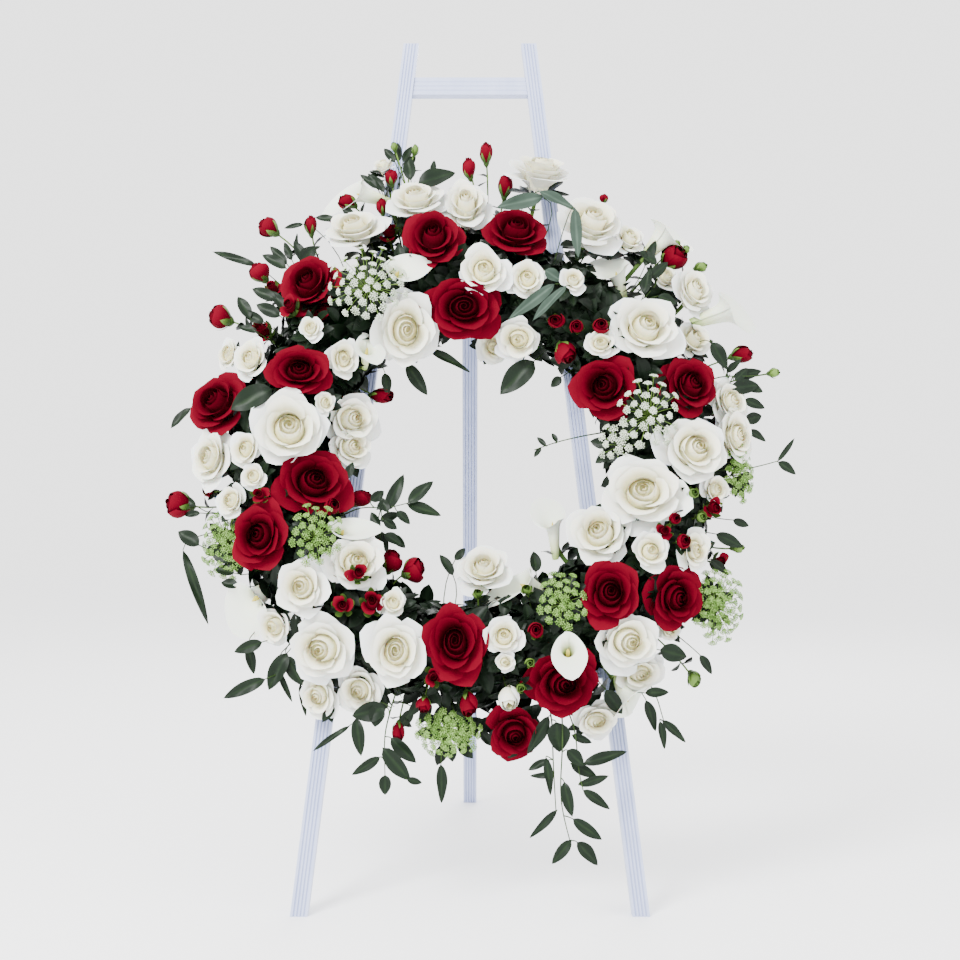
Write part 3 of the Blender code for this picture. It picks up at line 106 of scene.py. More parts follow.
SOFTBOXES = [
    ("key_light", (-1.6, -2.6, 2.8), 1.2, 260.0),
    ("fill_light", (2.2, -2.2, 1.6), 1.6, 30.0),
    ("back_light", (0.5, 2.6, 2.6), 1.4, 60.0),
]
for name, place, size, power in SOFTBOXES:
    light = bpy.data.lights.new(name, "AREA")
    light.size = size
    light.energy = power
    lamp = bpy.data.objects.new(name, light)
    lamp.location = place
    lamp.rotation_euler = (Vector((0, -0.2, 0.6)) - Vector(place)).to_track_quat("-Z", "Y").to_euler()
    bpy.context.scene.collection.objects.link(lamp)

# The camera: level, straight in front of the easel at about the height of the wreath's middle, with the
# focal length in pixels that the photograph's frame of 960 pixels gives. The easel's own middle line is a
# little left.
IMAGE_SIZE = 960
VIEW_MIDDLE = (470, 480)
VIEW_HEIGHT = 0.603
VIEW_DISTANCE = 2.099
VIEW_FOCAL = 1521
SENSOR = 36.0

left_low, left_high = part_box("front_leg_left")
right_low, right_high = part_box("front_leg_right")
EASEL_FOOT = np.array([(left_low.x + right_high.x) / 2, left_low.y, 0.0])

camera = bpy.data.cameras.new("camera")
camera.sensor_width = SENSOR
camera.lens = VIEW_FOCAL / IMAGE_SIZE * SENSOR
camera.shift_x = (IMAGE_SIZE / 2 - VIEW_MIDDLE[0]) / IMAGE_SIZE
viewer = bpy.data.objects.new("camera", camera)
viewer.location = EASEL_FOOT + np.array([0.0, -VIEW_DISTANCE, VIEW_HEIGHT])
viewer.rotation_euler = (math.radians(90), 0, 0)
bpy.context.scene.collection.objects.link(viewer)
bpy.context.scene.camera = viewer

# The easel: reeded pine mouldings, planed, sprayed with cool white satin paint and screwed into an A-frame
# that leans back, with a hinged rear leg. The CAD solids are right, so they stay and get the paint.
LEAN = math.radians(14.5)

# Sprayed satin acrylic over planed pine: a soft, faintly blue white, clouded a little across the grain, some
# 18 mm wide and 250 mm long, with a fine orange peel of about 1 mm.
white_paint, tree, shader = material("satin_paint_on_pine", Roughness=0.42, Coat_Weight=0.15,
                                     Coat_Roughness=0.3)
place = node(tree, "ShaderNodeTexCoord").outputs["Object"]
stretched = node(tree, "ShaderNodeMapping", {"Scale": (14.0, 14.0, 1.0)}, Vector=place).outputs["Vector"]
grain = node(tree, "ShaderNodeTexNoise", {"Scale": 4.0, "Detail": 6.0}, Vector=stretched).outputs["Fac"]
tint = node(tree, "ShaderNodeValToRGB", {"stops": [(0.3, "a6b0d2"), (0.7, "b2bbda")]}, Fac=grain)
tree.links.new(tint.outputs["Color"], shader.inputs["Base Color"])
peel = node(tree, "ShaderNodeTexNoise", {"Scale": 900.0, "Detail": 2.0}, Vector=place).outputs["Fac"]
mixed = node(tree, "ShaderNodeMath", {"operation": "ADD"}, n0=grain, n1=peel).outputs[0]
bump = node(tree, "ShaderNodeBump", {"Strength": 0.15, "Distance": 0.0008}, Height=mixed)
tree.links.new(bump.outputs["Normal"], shader.inputs["Normal"])
for name in ("front_leg_left", "front_leg_right", "top_rail", "hinge_rail", "lower_rail", "rear_leg"):
    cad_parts[name].data.materials.clear()
    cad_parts[name].data.materials.append(white_paint)

# Hinge leaves and the bracket under the tray: pressed mild steel with a dull zinc plate, screwed to the
# rails.

# Dull electroplated zinc over pressed steel: a flat grey metal with faint spangles of about 4 mm.
zinc, tree, shader = material("dull_zinc_plate", Metallic=1.0, Roughness=0.38)
place = node(tree, "ShaderNodeTexCoord").outputs["Object"]
spangle = node(tree, "ShaderNodeTexVoronoi", {"Scale": 260.0}, Vector=place).outputs["Distance"]
tint = node(tree, "ShaderNodeValToRGB", {"stops": [(0.0, "a9abad"), (1.0, "c6c8ca")]}, Fac=spangle)
tree.links.new(tint.outputs["Color"], shader.inputs["Base Color"])
for name in ("hinge_leaf_rail", "hinge_leaf_leg", "wreath_bracket"):
    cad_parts[name].data.materials.clear()
    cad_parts[name].data.materials.append(zinc)

# Tray and foam: a vacuum-formed dark green plastic tray that holds a ring of wet phenolic foam, a crumbly
# dark green once soaked. Both show only from behind and through gaps.

# Vacuum-formed polystyrene sheet: dark green, half dull, with a peel of about 2 mm from the mould.
tray_plastic, tree, shader = material("vacuum_formed_plastic", Roughness=0.5, Specular_IOR_Level=0.12)
place = node(tree, "ShaderNodeTexCoord").outputs["Object"]
peel = node(tree, "ShaderNodeTexNoise", {"Scale": 420.0, "Detail": 1.0}, Vector=place).outputs["Fac"]
tint = node(tree, "ShaderNodeValToRGB", {"stops": [(0.3, "0c1d10"), (0.7, "122a18")]}, Fac=peel)
tree.links.new(tint.outputs["Color"], shader.inputs["Base Color"])
bump = node(tree, "ShaderNodeBump", {"Strength": 0.2, "Distance": 0.0005}, Height=peel)
tree.links.new(bump.outputs["Normal"], shader.inputs["Normal"])
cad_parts["foam_tray"].data.materials.clear()
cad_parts["foam_tray"].data.materials.append(tray_plastic)

# Wet phenolic foam: matt dark green with open cells and crumbs of about 1.5 mm.
wet_foam, tree, shader = material("wet_phenolic_foam", Roughness=0.95, Specular_IOR_Level=0.05)
place = node(tree, "ShaderNodeTexCoord").outputs["Object"]
crumb = node(tree, "ShaderNodeTexNoise", {"Scale": 700.0, "Detail": 4.0}, Vector=place).outputs["Fac"]
tint = node(tree, "ShaderNodeValToRGB", {"stops": [(0.3, "0e2412"), (0.7, "183a1d")]}, Fac=crumb)
tree.links.new(tint.outputs["Color"], shader.inputs["Base Color"])
bump = node(tree, "ShaderNodeBump", {"Strength": 0.6, "Distance": 0.001}, Height=crumb)
tree.links.new(bump.outputs["Normal"], shader.inputs["Normal"])
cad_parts["foam_ring"].data.materials.clear()
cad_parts["foam_ring"].data.materials.append(wet_foam)

# Red roses: long-stemmed garden roses, nearly open, each of nineteen velvet petals wrapped in a spiral. The
# stem of each is cut on the slant and pushed into the foam. A flower is a place in the front view.
WREATH_Y = 0.634
RING_RADIUS = 0.277
HEAD_RADIAL_REACH = 0.088
SECTION_HEIGHT = 0.034
HEAD_RISE = 0.078
EYE_UP_SLOPE = VIEW_HEIGHT * math.cos(LEAN) - VIEW_DISTANCE * math.sin(LEAN)
EYE_OUT = VIEW_DISTANCE * math.cos(LEAN) + VIEW_HEIGHT * math.sin(LEAN)
GOLDEN_TURN = math.radians(137.5)
PETAL_SPREAD = 1.05
RIM_SPREAD = 0.12
SEED = 7

RED_ROSES = {
    "red_rose_01": [("rose", 434, 243, 57, 70)],
    "red_rose_02": [("rose", 515, 237, 63, 57)],
    "red_rose_03": [("rose", 464, 308, 74, 60, 4)],
    "red_rose_04": [("rose", 312, 290, 58, 70, -5)],
    "red_rose_05": [("rose", 300, 373, 68, 52, 5)],
    "red_rose_06": [("rose", 222, 405, 62, 58)],
    "red_rose_07": [("rose", 312, 484, 72, 66)],
    "red_rose_08": [("rose", 262, 537, 60, 66, 5)],
    "red_rose_09": [("rose", 455, 644, 62, 82, 5)],
    "red_rose_10": [("rose", 562, 681, 70, 62)],
    "red_rose_11": [("rose", 514, 731, 52, 52, -5)],
    "red_rose_12": [("rose", 609, 594, 60, 68, 5)],
    "red_rose_13": [("rose", 673, 597, 54, 62)],
    "red_rose_14": [("rose", 606, 388, 64, 62)],
    "red_rose_15": [("rose", 688, 388, 56, 62)],
}


def in_view(px, py, height):
    """The point of the wreath's frame seen at a pixel, at a height over the easel's front, and the size in
    metres that a pixel has there: the line of sight meets the plane at that height."""
    across = (px - VIEW_MIDDLE[0]) / VIEW_FOCAL
    up = (VIEW_MIDDLE[1] - py) / VIEW_FOCAL
    along_slope = math.sin(LEAN) + up * math.cos(LEAN)
    inward = math.cos(LEAN) - up * math.sin(LEAN)
    far = (EYE_OUT - height) / inward
    return np.array([far * across, EYE_UP_SLOPE + far * along_slope - WREATH_Y, height]), far / VIEW_FOCAL


def to_world(points):
    """Points of the wreath's frame (x right, y up the slope, z out of it) in the frame of the CAD."""
    x, y, z = points[..., 0], points[..., 1] + WREATH_Y, points[..., 2]
    leant = [x, y * math.sin(LEAN) - z * math.cos(LEAN), y * math.cos(LEAN) + z * math.sin(LEAN)]
    return np.stack(leant, axis=-1) + EASEL_FOOT


def unit(vector):
    """The vector over its own length."""
    return vector / np.linalg.norm(vector)


def seat(kind, px, py, width, height_px, layer=0, lean=1.0, aim=None, rise=25, tip=None):
    """Middle, radius, frame and stretch of a head that stands on a swollen ring over the foam. It opens
    outwards the more the nearer it is to the ring's edge, or the way it is aimed."""
    height = 0.1
    for _ in range(4):
        point, scale = in_view(px, py, height)
        radius = 0.25 * (width + height_px) * scale
        out = np.clip((math.hypot(point[0], point[1]) - RING_RADIUS) / HEAD_RADIAL_REACH, -1, 1)
        height = SECTION_HEIGHT + HEAD_RISE * math.sqrt(1 - out * out) + layer / 1000
        if kind in ("bud", "rosette"):
            height += 0.6 * (0.035 - radius)
        height = max(height, radius + 0.020)
    middle = in_view(px, py, height)[0]
    if aim is None:
        radial = unit(np.array([point[0], point[1], 0.0]))
        direction = unit(radial * 0.5 * out * lean + np.array([0, 0, 1.0]))
    else:
        a, r = math.radians(aim), math.radians(rise)
        direction = np.array([math.cos(a) * math.cos(r), math.sin(a) * math.cos(r), math.sin(r)])
    mean = 0.5 * (width + height_px)
    return middle, radius, direction, np.array([width / mean, height_px / mean, 1.0]), tip


def head_axes(direction, roll):
    """Columns x, y, z of a head's frame: z the way it opens, x as near as may be to the angle roll."""
    hint = np.array([math.cos(roll), math.sin(roll), 0.0])
    if abs(hint @ direction) > 0.95:
        hint = np.array([0.0, 0.0, 1.0])
    across = unit(hint - direction * (hint @ direction))
    return np.stack([across, np.cross(direction, across), direction], axis=1)


def turned(distance, angle, z):
    """Points at a distance from the z axis, at an angle round it and at a height."""
    return np.stack(np.broadcast_arrays(distance * np.cos(angle), distance * np.sin(angle), z), axis=-1)


def petal(turn, rim, height, floor_z, half_width, cup, shut, roll, point, tuck, wave, luck, size=9):
    """One petal as a sheet wrapped round the head's axis. Across it runs the angle, along it the way from
    its claw to its rim. The distance from the axis grows from a share 'cup' of the rim's to the whole;
    'shut' draws the top back in, and in open petals the last third rolls back and down instead. One side is
    tucked in and the other stands proud, the top corners are rounded, and the rim waves. Sizes are shares
    of the head's radius."""
    across = np.linspace(-1, 1, size)[None, :]
    along = np.linspace(0, 1, size)[:, None]
    reach = along * (1 - 0.26 * across**4)
    back = np.clip((reach - 0.66) / 0.34, 0, 1) ** 2
    tucked = 1 + tuck * across * (0.2 + 0.8 * reach)
    distance = rim * (cup + (1 - cup) * reach**1.3) * (1 - shut * reach**2) * tucked
    tip = np.exp(-((across / 0.30) ** 2))
    distance = distance + roll * back * (0.4 + 0.6 * across**2) + point * back * tip
    phase = luck.uniform(0, 6.28)
    ripple = wave * reach**2 * (np.sin(2.3 * across + phase) + 0.5 * np.sin(5.7 * across + 1.7 * phase))
    drop = 1.1 * roll * back * (0.5 + 0.5 * across**2)
    z = floor_z + (height - floor_z) * reach**0.75 - drop + 0.8 * ripple
    angle = turn + across * half_width * (0.50 + 0.50 * np.sin(np.minimum(reach * 2.0, 1.57)))
    return turned(distance + ripple, angle, z)


def rose_petals(count, luck, openness=1.0, pointed=0.05, wave=0.012, heart=0.42):
    """The petals of a rose from its heart outwards, each turned by the golden angle from the last. Those of
    the heart stand high and are rolled into a shut scroll; the others open into wide, low petals with their
    rims rolled back. With each goes its place from 0 inside to 1 outside."""
    around, down = np.linspace(0, 2 * math.pi, 13)[None, :], np.linspace(0, 1, 6)[:, None]
    width = 0.40 * np.sin(down * 1.5) ** 0.8
    made = [(turned(width, around, 0.46 - 0.55 * down**2), 0.12)]
    turn = luck.uniform(0, 6.28)
    for k in range(count):
        t = k / (count - 1)
        turn += GOLDEN_TURN + luck.uniform(-0.2, 0.2)
        inner = max(0.0, 1 - t / heart)
        outer = max(0.0, (t - heart) / (1 - heart))
        if inner:
            rim = (0.13 + 0.25 * (1 - inner)) * (1 + luck.uniform(-0.04, 0.04))
            height = 0.60 + 0.05 * inner + luck.uniform(-0.02, 0.02)
            half_width = math.radians(130 - 35 * (1 - inner))
            sheet = petal(turn, rim, height, -0.20, half_width, 1.0, 0.55 * inner + 0.08,
                          0.02 * (1 - inner), 0.0, 0.10, 0.4 * wave, luck)
        else:
            rim = openness * (0.46 + 0.46 * outer**0.9) * (1 + luck.uniform(-0.05, 0.05))
            height = 0.58 - 0.50 * outer**1.5 + luck.uniform(-0.05, 0.05)
            half_width = math.radians(74 - 22 * outer)
            roll = 0.05 + 0.09 * outer + luck.uniform(0, 0.05)
            sheet = petal(turn, rim, height, -0.30 - 0.35 * outer, half_width, 0.62 - 0.42 * outer,
                          0.0, roll, pointed * (0.4 + outer), 0.07, wave * (1 + outer), luck)
        made.append((sheet, t))
    return made


def grid_faces(rows, columns, first, closed=False):
    """The quads of a grid of points, whose numbers start at first; a closed grid joins its last column
    on."""
    numbers = first + np.arange(rows * columns).reshape(rows, columns)
    if closed:
        numbers = np.concatenate([numbers, numbers[:, :1]], axis=1)
    a, b, c, d = numbers[:-1, :-1], numbers[:-1, 1:], numbers[1:, 1:], numbers[1:, :-1]
    return np.stack([a, b, c, d], axis=-1).reshape(-1, 4)


class Bunch:
    """Gathers sheets of points, each with a tone from 0 to 1 at every point, into one mesh."""

    def __init__(self):
        self.points, self.faces, self.tones, self.count = [], [], [], 0

    def add(self, sheet, tone, closed=False):
        """Adds one sheet, a grid of points; a closed one joins its last column to its first."""
        rows, columns = sheet.shape[:2]
        self.faces.append(grid_faces(rows, columns, self.count, closed))
        self.points.append(sheet.reshape(-1, 3))
        self.tones.append(np.broadcast_to(tone, (rows, columns)).reshape(-1))
        self.count += rows * columns

    def place(self, name, finish, slot, nodes):
        """Makes the piece, in the CAD's frame, in place of its nodes."""
        mesh = bpy.data.meshes.new(name)
        points, faces = to_world(np.concatenate(self.points)), np.concatenate(self.faces)
        mesh.vertices.add(len(points))
        mesh.vertices.foreach_set("co", points.astype(np.float32).ravel())
        mesh.loops.add(faces.size)
        mesh.loops.foreach_set("vertex_index", faces.astype(np.int32).ravel())
        mesh.polygons.add(len(faces))
        mesh.polygons.foreach_set("loop_start", np.arange(0, faces.size, 4, dtype=np.int32))
        mesh.update(calc_edges=True)
        mesh.polygons.foreach_set("use_smooth", np.ones(len(faces), bool))
        tone = mesh.attributes.new("tone", "FLOAT", "POINT")
        tone.data.foreach_set("value", np.concatenate(self.tones).astype(np.float32))
        mesh.validate()
        mesh.materials.append(finish)
        piece = bpy.data.objects.new(name, mesh)
        bpy.context.scene.collection.objects.link(piece)
        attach(piece, "stand")
        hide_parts(*nodes)
        return piece


def clouded_tone(tree, place, scale, detail, reach):
    """The mesh's own tone, raised and lowered by half of reach by a soft cloud."""
    tone = node(tree, "ShaderNodeAttribute", {"attribute_name": "tone"}).outputs["Fac"]
    cloud = node(tree, "ShaderNodeTexNoise", {"Scale": scale, "Detail": detail}, Vector=place).outputs["Fac"]
    centred = {"operation": "MULTIPLY_ADD", 1: reach, 2: -reach / 2}
    shift = node(tree, "ShaderNodeMath", centred, n0=cloud).outputs[0]
    return node(tree, "ShaderNodeMath", {"operation": "ADD", "use_clamp": True}, n0=tone, n1=shift).outputs[0]


def petal_finish(name, stops, roughness, shine, glow):
    """A petal: the tone runs from the heart out, a fine vein relief of under 1 mm follows the surface, and
    light passes through a little."""
    made, tree, shader = material(name, Roughness=roughness, Specular_IOR_Level=shine,
                                  Subsurface_Weight=glow, Subsurface_Scale=0.004)
    place = node(tree, "ShaderNodeTexCoord").outputs["Object"]
    tint = node(tree, "ShaderNodeValToRGB", {"stops": stops}, Fac=clouded_tone(tree, place, 90.0, 3.0, 0.16))
    tree.links.new(tint.outputs["Color"], shader.inputs["Base Color"])
    vein = node(tree, "ShaderNodeTexNoise", {"Scale": 1400.0, "Detail": 2.0}, Vector=place).outputs["Fac"]
    bump = node(tree, "ShaderNodeBump", {"Strength": 0.25, "Distance": 0.0003}, Height=vein)
    tree.links.new(bump.outputs["Normal"], shader.inputs["Normal"])
    return made


# Velvet red petals: matt crimson at the rims, darkened to nearly black in the heart and at each claw as
# painted shade.
RED_PETALS = [(0.0, "1e0005"), (0.35, "3b000a"), (0.7, "520011"), (1.0, "620318")]
red_velvet = petal_finish("velvet_red_petal", RED_PETALS, 0.75, 0.04, 0.0)
# Silky white petals: cream in the heart, a cool white at the rims, and a little light comes through.
WHITE_PETALS = [(0.0, "d6cd92"), (0.35, "e0dab0"), (0.7, "e5e4d4"), (1.0, "e0e3e4")]
white_silk = petal_finish("silky_white_petal", WHITE_PETALS, 0.6, 0.2, 0.12)


def set_flower(bunch, head, petals, luck):
    """Puts a flower's petals at its seat and adds them to a bunch. The tone falls towards each claw, a
    painted shade where less light gets in, and towards the heart, which is painted shade in the red roses and
    the cream of their own heart in the white ones."""
    middle, radius, direction, stretch, tip = seat(*head)
    beside = abs(math.hypot(middle[0], middle[1]) - RING_RADIUS) / HEAD_RADIAL_REACH
    radius *= PETAL_SPREAD + RIM_SPREAD * min(1.0, beside)
    axes = head_axes(direction, luck.uniform(0, 6.28) if tip is None else math.radians(tip))
    for sheet, t in petals:
        along = np.linspace(0, 1, sheet.shape[0])[:, None]
        placed = sheet @ axes.T * radius * stretch + middle
        # Painted shade: the tone drops towards each claw and, in the red petals, towards the heart.
        bunch.add(placed, np.clip(0.08 + 0.62 * t**0.8 + 0.30 * along**2, 0, 1) + 0 * sheet[..., 0])


luck = np.random.default_rng(SEED)
red_roses = Bunch()
for heads in RED_ROSES.values():
    for head in heads:
        set_flower(red_roses, head, rose_petals(19, luck, 1.0, 0.10, 0.022), luck)
red_roses.place("red_roses", red_velvet, "red_petals", RED_ROSES)

# White roses: the same kind in white, with a cream heart and more ruffled petals. Some share a node of the
# CAD with a calla beside them.
WHITE_HEADS = {
    "white_rose_01": [("rose", 540, 176, 60, 48, 0, 2.2)],
    "white_rose_02": [
        ("rose", 590, 228, 62, 60), ("rosette", 628, 241, 30, 34, 5),
        ("calla", 617, 272, 34, 48, 12, 1, 112, 30, 130),
    ],
    "white_rose_03": [("rose", 692, 294, 38, 50), ("calla", 727, 312, 58, 40, 0, 1, 20, 20, 20)],
    "white_rose_04": [("rose", 643, 331, 72, 70, 5)],
    "white_rose_05": [("rose", 644, 495, 84, 74), ("rose", 692, 451, 70, 66, 5), ("rose", 601, 536, 64, 66)],
    "white_rose_06": [
        ("rose", 626, 640, 64, 58), ("rose", 637, 672, 50, 38, -10),
        ("calla", 628, 702, 34, 52, 0, 1, -60, 15, -60),
    ],
    "white_rose_07": [("rose", 595, 719, 44, 34, -10)],
    "white_rose_08": [("rose", 397, 651, 62, 72, 5)],
    "white_rose_09": [("rose", 325, 648, 68, 64, 3)],
    "white_rose_10": [("rose", 361, 688, 44, 48, -8), ("rose", 320, 694, 38, 44, -12)],
    "white_rose_11": [("rose", 303, 588, 54, 56)],
    "white_rose_12": [("rose", 355, 566, 60, 58), ("calla", 342, 530, 46, 36, 12, 1, 60, 50, 10)],
    "white_rose_13": [("rose", 484, 572, 50, 50, -8), ("calla", 522, 583, 50, 38, 6, 1, 150, 25, 190)],
    "white_rose_14": [("rose", 289, 431, 76, 78, 5)],
    "white_rose_15": [("rose", 350, 420, 52, 48), ("rose", 350, 448, 44, 40, -8)],
    "white_rose_16": [("rose", 214, 460, 44, 56, -5)],
    "white_rose_17": [("rose", 405, 330, 60, 74, 3), ("calla", 367, 347, 34, 50, 12, 1, 70, 50, -80)],
    "white_rose_18": [("rose", 417, 203, 56, 44, -8)],
    "white_rose_19": [("rose", 356, 232, 60, 44, -8), ("calla", 358, 193, 52, 32, 6, 1, 165, 25, 175)],
    "white_rose_20": [("rose", 466, 210, 42, 60, -5)],
    "white_rose_21": [("rose", 727, 404, 40, 46, -3), ("rose", 733, 438, 40, 56, -8)],
}
white_roses = Bunch()
for heads in WHITE_HEADS.values():
    for head in heads:
        if head[0] == "rose":
            set_flower(white_roses, head, rose_petals(19, luck, 1.0, 0.11, 0.03), luck)
        elif head[0] == "rosette":
            set_flower(white_roses, head, rose_petals(13, luck, 1.0, 0.0, 0.045, 0.35), luck)
white_roses.place("white_roses", white_silk, "white_petals", WHITE_HEADS)

# Callas: one waxy white leaf rolled into a funnel, its lip flared and drawn out to a point, with a yellow
# spadix in the throat.
CALLAS = {
    "calla_01": [("calla", 397, 271, 42, 42, 10, 1, 60, 60, 20)],
    "calla_02": [("calla", 665, 235, 44, 46, 0, 1, 45, 20, 40)],
    "calla_03": [("calla", 553, 523, 30, 56, 0, 1, 100, 25, 110)],
    "calla_04": [("calla", 568, 648, 40, 46, 28, 1, 95, 72, -85)],
    "calla_05": [("calla", 253, 600, 46, 50, 8, 1, 225, 30, 225)],
}
CALLA_FACING = 1.3
CALLA_SIDEWAYS = 1.65


def calla_funnel(rows=16, columns=33):
    """The rolled leaf: round it goes the angle, a little over one turn so that its edges overlap; along it
    the radius grows slowly up the tube and fast at the lip, which rolls back, reaches out and rises to its
    point."""
    around = np.linspace(-1, 1, columns)[None, :]
    along = np.linspace(0, 1, rows)[:, None]
    towards_tip = (0.5 + 0.5 * np.cos(around * math.pi * 0.98)) ** 1.5
    flare = np.clip((along - 0.55) / 0.45, 0, 1) ** 1.6
    radius = 0.15 + 0.21 * along + flare * (0.16 + 0.60 * towards_tip**2) + 0.02 * around
    z = -0.80 + 1.10 * along**0.9 + flare * (0.16 * towards_tip - 0.14 - 0.16 * np.sin(math.pi * around) ** 2)
    point = flare**3 * 0.22 * np.exp(-((around / 0.10) ** 2))
    angle = around * math.pi * 1.06
    return turned(radius + point, angle, z)


def rod(path, radii, sides=8):
    """A round rod along a path: rings of points square to the path's direction."""
    path, radii = np.asarray(path, float), np.broadcast_to(radii, len(path))
    ahead = np.gradient(path, axis=0)
    ahead /= np.linalg.norm(ahead, axis=1, keepdims=True)
    hint = np.array([0.0, 0.0, 1.0]) if abs(ahead[0, 2]) < 0.9 else np.array([1.0, 0.0, 0.0])
    side = np.cross(ahead, hint)
    side /= np.linalg.norm(side, axis=1, keepdims=True)
    other = np.cross(side, ahead)
    turn = -np.arange(sides) * 2 * math.pi / sides
    ring = np.cos(turn)[None, :, None] * side[:, None] + np.sin(turn)[None, :, None] * other[:, None]
    return path[:, None] + radii[:, None, None] * ring


# Waxy spathe: thick and smooth, green in the throat and a warm white at the lip.
SPATHE = [(0.0, "8fa85a"), (0.22, "cfd9a6"), (0.5, "dfe6d0"), (1.0, "e0e5da")]
white_wax = petal_finish("waxy_calla_spathe", SPATHE, 0.4, 0.25, 0.12)
callas, spadices = Bunch(), Bunch()
for heads in [*CALLAS.values(), *WHITE_HEADS.values()]:
    for head in heads:
        if head[0] != "calla":
            continue
        middle, radius, direction, stretch, tip = seat(*head)
        axes = head_axes(direction, math.radians(tip))
        radius *= CALLA_FACING if direction[2] > 0.6 else CALLA_SIDEWAYS
        funnel = calla_funnel()
        along = np.linspace(0, 1, funnel.shape[0])[:, None]
        callas.add(funnel @ axes.T * radius * stretch + middle, along + 0 * funnel[..., 0])
        spine = np.stack([0.05 * np.ones(7), np.zeros(7), np.linspace(-0.6, 0.02, 7)], axis=1)
        spadix = rod(spine, np.array([0.07, 0.08, 0.08, 0.08, 0.075, 0.055, 0.01]), 8)
        spadices.add(spadix @ axes.T * radius * stretch + middle, 0.5, closed=True)
callas.place("calla_spathes", white_wax, "white_petals", [*CALLAS])
# Spadix: a rod crowded with tiny flowers, dusty with pale yellow pollen, in grains of about 1 mm.
pollen, tree, shader = material("pollen_yellow", Roughness=0.8)
place = node(tree, "ShaderNodeTexCoord").outputs["Object"]
grit = node(tree, "ShaderNodeTexVoronoi", {"Scale": 900.0}, Vector=place).outputs["Distance"]
tint = node(tree, "ShaderNodeValToRGB", {"stops": [(0.0, "d8c860"), (1.0, "a8962c")]}, Fac=grit)
tree.links.new(tint.outputs["Color"], shader.inputs["Base Color"])
spadices.place("calla_spadices", pollen, "white_petals", CALLAS)

# Spray roses and buds: small white roses on branched stems, and tight red buds with green sepals, set
# between the large heads and round the rim.
WHITE_ROSETTES = [
    ("rosette", 484, 272, 52, 55, 14), ("rosette", 527, 280, 42, 44, 3), ("rosette", 573, 281, 26, 28, 3),
    ("rosette", 519, 339, 44, 40), ("rosette", 494, 346, 34, 34, -6), ("rosette", 601, 344, 34, 28),
    ("rosette", 664, 279, 27, 28, 3), ("rosette", 692, 341, 36, 38), ("rosette", 650, 552, 42, 42, 3),
    ("rosette", 693, 550, 34, 42), ("rosette", 714, 490, 28, 30), ("rosette", 504, 637, 40, 42, 3),
    ("rosette", 505, 662, 22, 20), ("bud", 508, 697, 24, 28, 3, 1, -80, 40),
    ("rosette", 311, 329, 25, 28, 5), ("rosette", 343, 359, 32, 40), ("rosette", 253, 361, 36, 42),
    ("rosette", 230, 356, 22, 36, -8), ("rosette", 325, 403, 20, 24, 8), ("rosette", 247, 450, 32, 40, 3),
    ("rosette", 254, 477, 28, 28, 3), ("rosette", 233, 501, 30, 34), ("rosette", 276, 626, 36, 38, -3),
    ("rosette", 393, 604, 28, 30), ("rosette", 384, 168, 22, 22, -5, 2), ("rosette", 668, 628, 26, 26, -8),
]
RED_BUDS = [
    (486, 154, 14, 24, 0, 1, 95), (469, 169, 14, 24, 0, 1, 110), (505, 187, 16, 26, -5, 1, 80),
    (391, 178, 14, 18, 0, 1, 100), (348, 202, 20, 16, 0, 1, 150), (382, 207, 12, 18, 5, 1, 100),
    (389, 232, 26, 26, 5), (311, 226, 13, 22, 0, 1, 95), (269, 228, 22, 22, 0, 1, 150),
    (260, 273, 22, 22, 0, 1, 130), (273, 289, 22, 22, 0), (221, 318, 24, 28, 0, 1, 170), (263, 331, 28, 24),
    (290, 307, 22, 26, 8), (381, 396, 26, 16, -5, 1, -20), (180, 504, 28, 30, 0, 1, 175),
    (209, 490, 13, 14), (260, 495, 22, 20, 5), (332, 507, 18, 20, 12), (361, 499, 24, 18, -5, 1, 40),
    (391, 562, 22, 26, -3, 1, 60), (413, 570, 24, 28, 0, 1, 20), (358, 574, 24, 24, 20),
    (343, 606, 26, 26, 6), (372, 603, 28, 34, 4), (434, 676, 24, 26, 3), (424, 704, 16, 18, 0, 1, -100),
    (468, 703, 20, 28, 0, 1, -80), (398, 731, 14, 22, 0, 1, -95), (536, 631, 18, 20), (556, 321, 20, 16),
    (577, 327, 16, 16), (601, 326, 20, 18, 5), (565, 352, 24, 26, -5, 1, -60),
    (673, 258, 30, 28, 0, 1, 30, 50), (741, 355, 24, 18, 0, 1, 10), (664, 531, 22, 20, -3),
    (675, 519, 14, 14, 5), (683, 541, 16, 18, 6), (713, 508, 24, 24, 6), (719, 562, 20, 22),
    (604, 199, 10, 10, 0, 1, 80),
]
GREEN_BUDS = [
    (774, 373, 14, 12, 0, 1, 0), (701, 267, 16, 12, 0, 1, 20), (738, 548, 16, 11, 0, 1, 0),
    (694, 679, 16, 20, 0, 1, -60), (677, 244, 9, 10, 0, 1, 40), (686, 249, 9, 10, 0, 1, 20),
    (527, 590, 14, 13, 8), (530, 663, 12, 12, 4), (521, 688, 12, 12), (478, 594, 13, 12, 8),
    (693, 493, 14, 14, 6), (701, 517, 14, 14, 4), (415, 150, 9, 14, 0, 1, 70), (394, 147, 9, 12, 0, 1, 110),
]
GREENERY = [f"greenery_{k:02d}" for k in range(1, 9)]


def bud_petals(luck, count=7):
    """A closed bud: petals wrapped into an egg that narrows to its top."""
    made = []
    turn = luck.uniform(0, 6.28)
    for k in range(count):
        t = k / (count - 1)
        turn += GOLDEN_TURN
        across, along = np.linspace(-1, 1, 7)[None, :], np.linspace(0, 1, 8)[:, None]
        reach = along * (1 - 0.22 * across**4)
        egg = np.sin(np.clip(0.25 + reach * (2.45 - 0.35 * t), 0, 3.0))
        distance = (0.35 + 0.50 * t) * egg * (1 + 0.08 * across) + 0.04 * t * np.clip(reach - 0.85, 0, 1) * 6
        z = -0.75 + (1.65 - 0.25 * t) * reach
        angle = turn + across * math.radians(105 - 30 * t)
        made.append((turned(distance, angle, z), t))
    return made


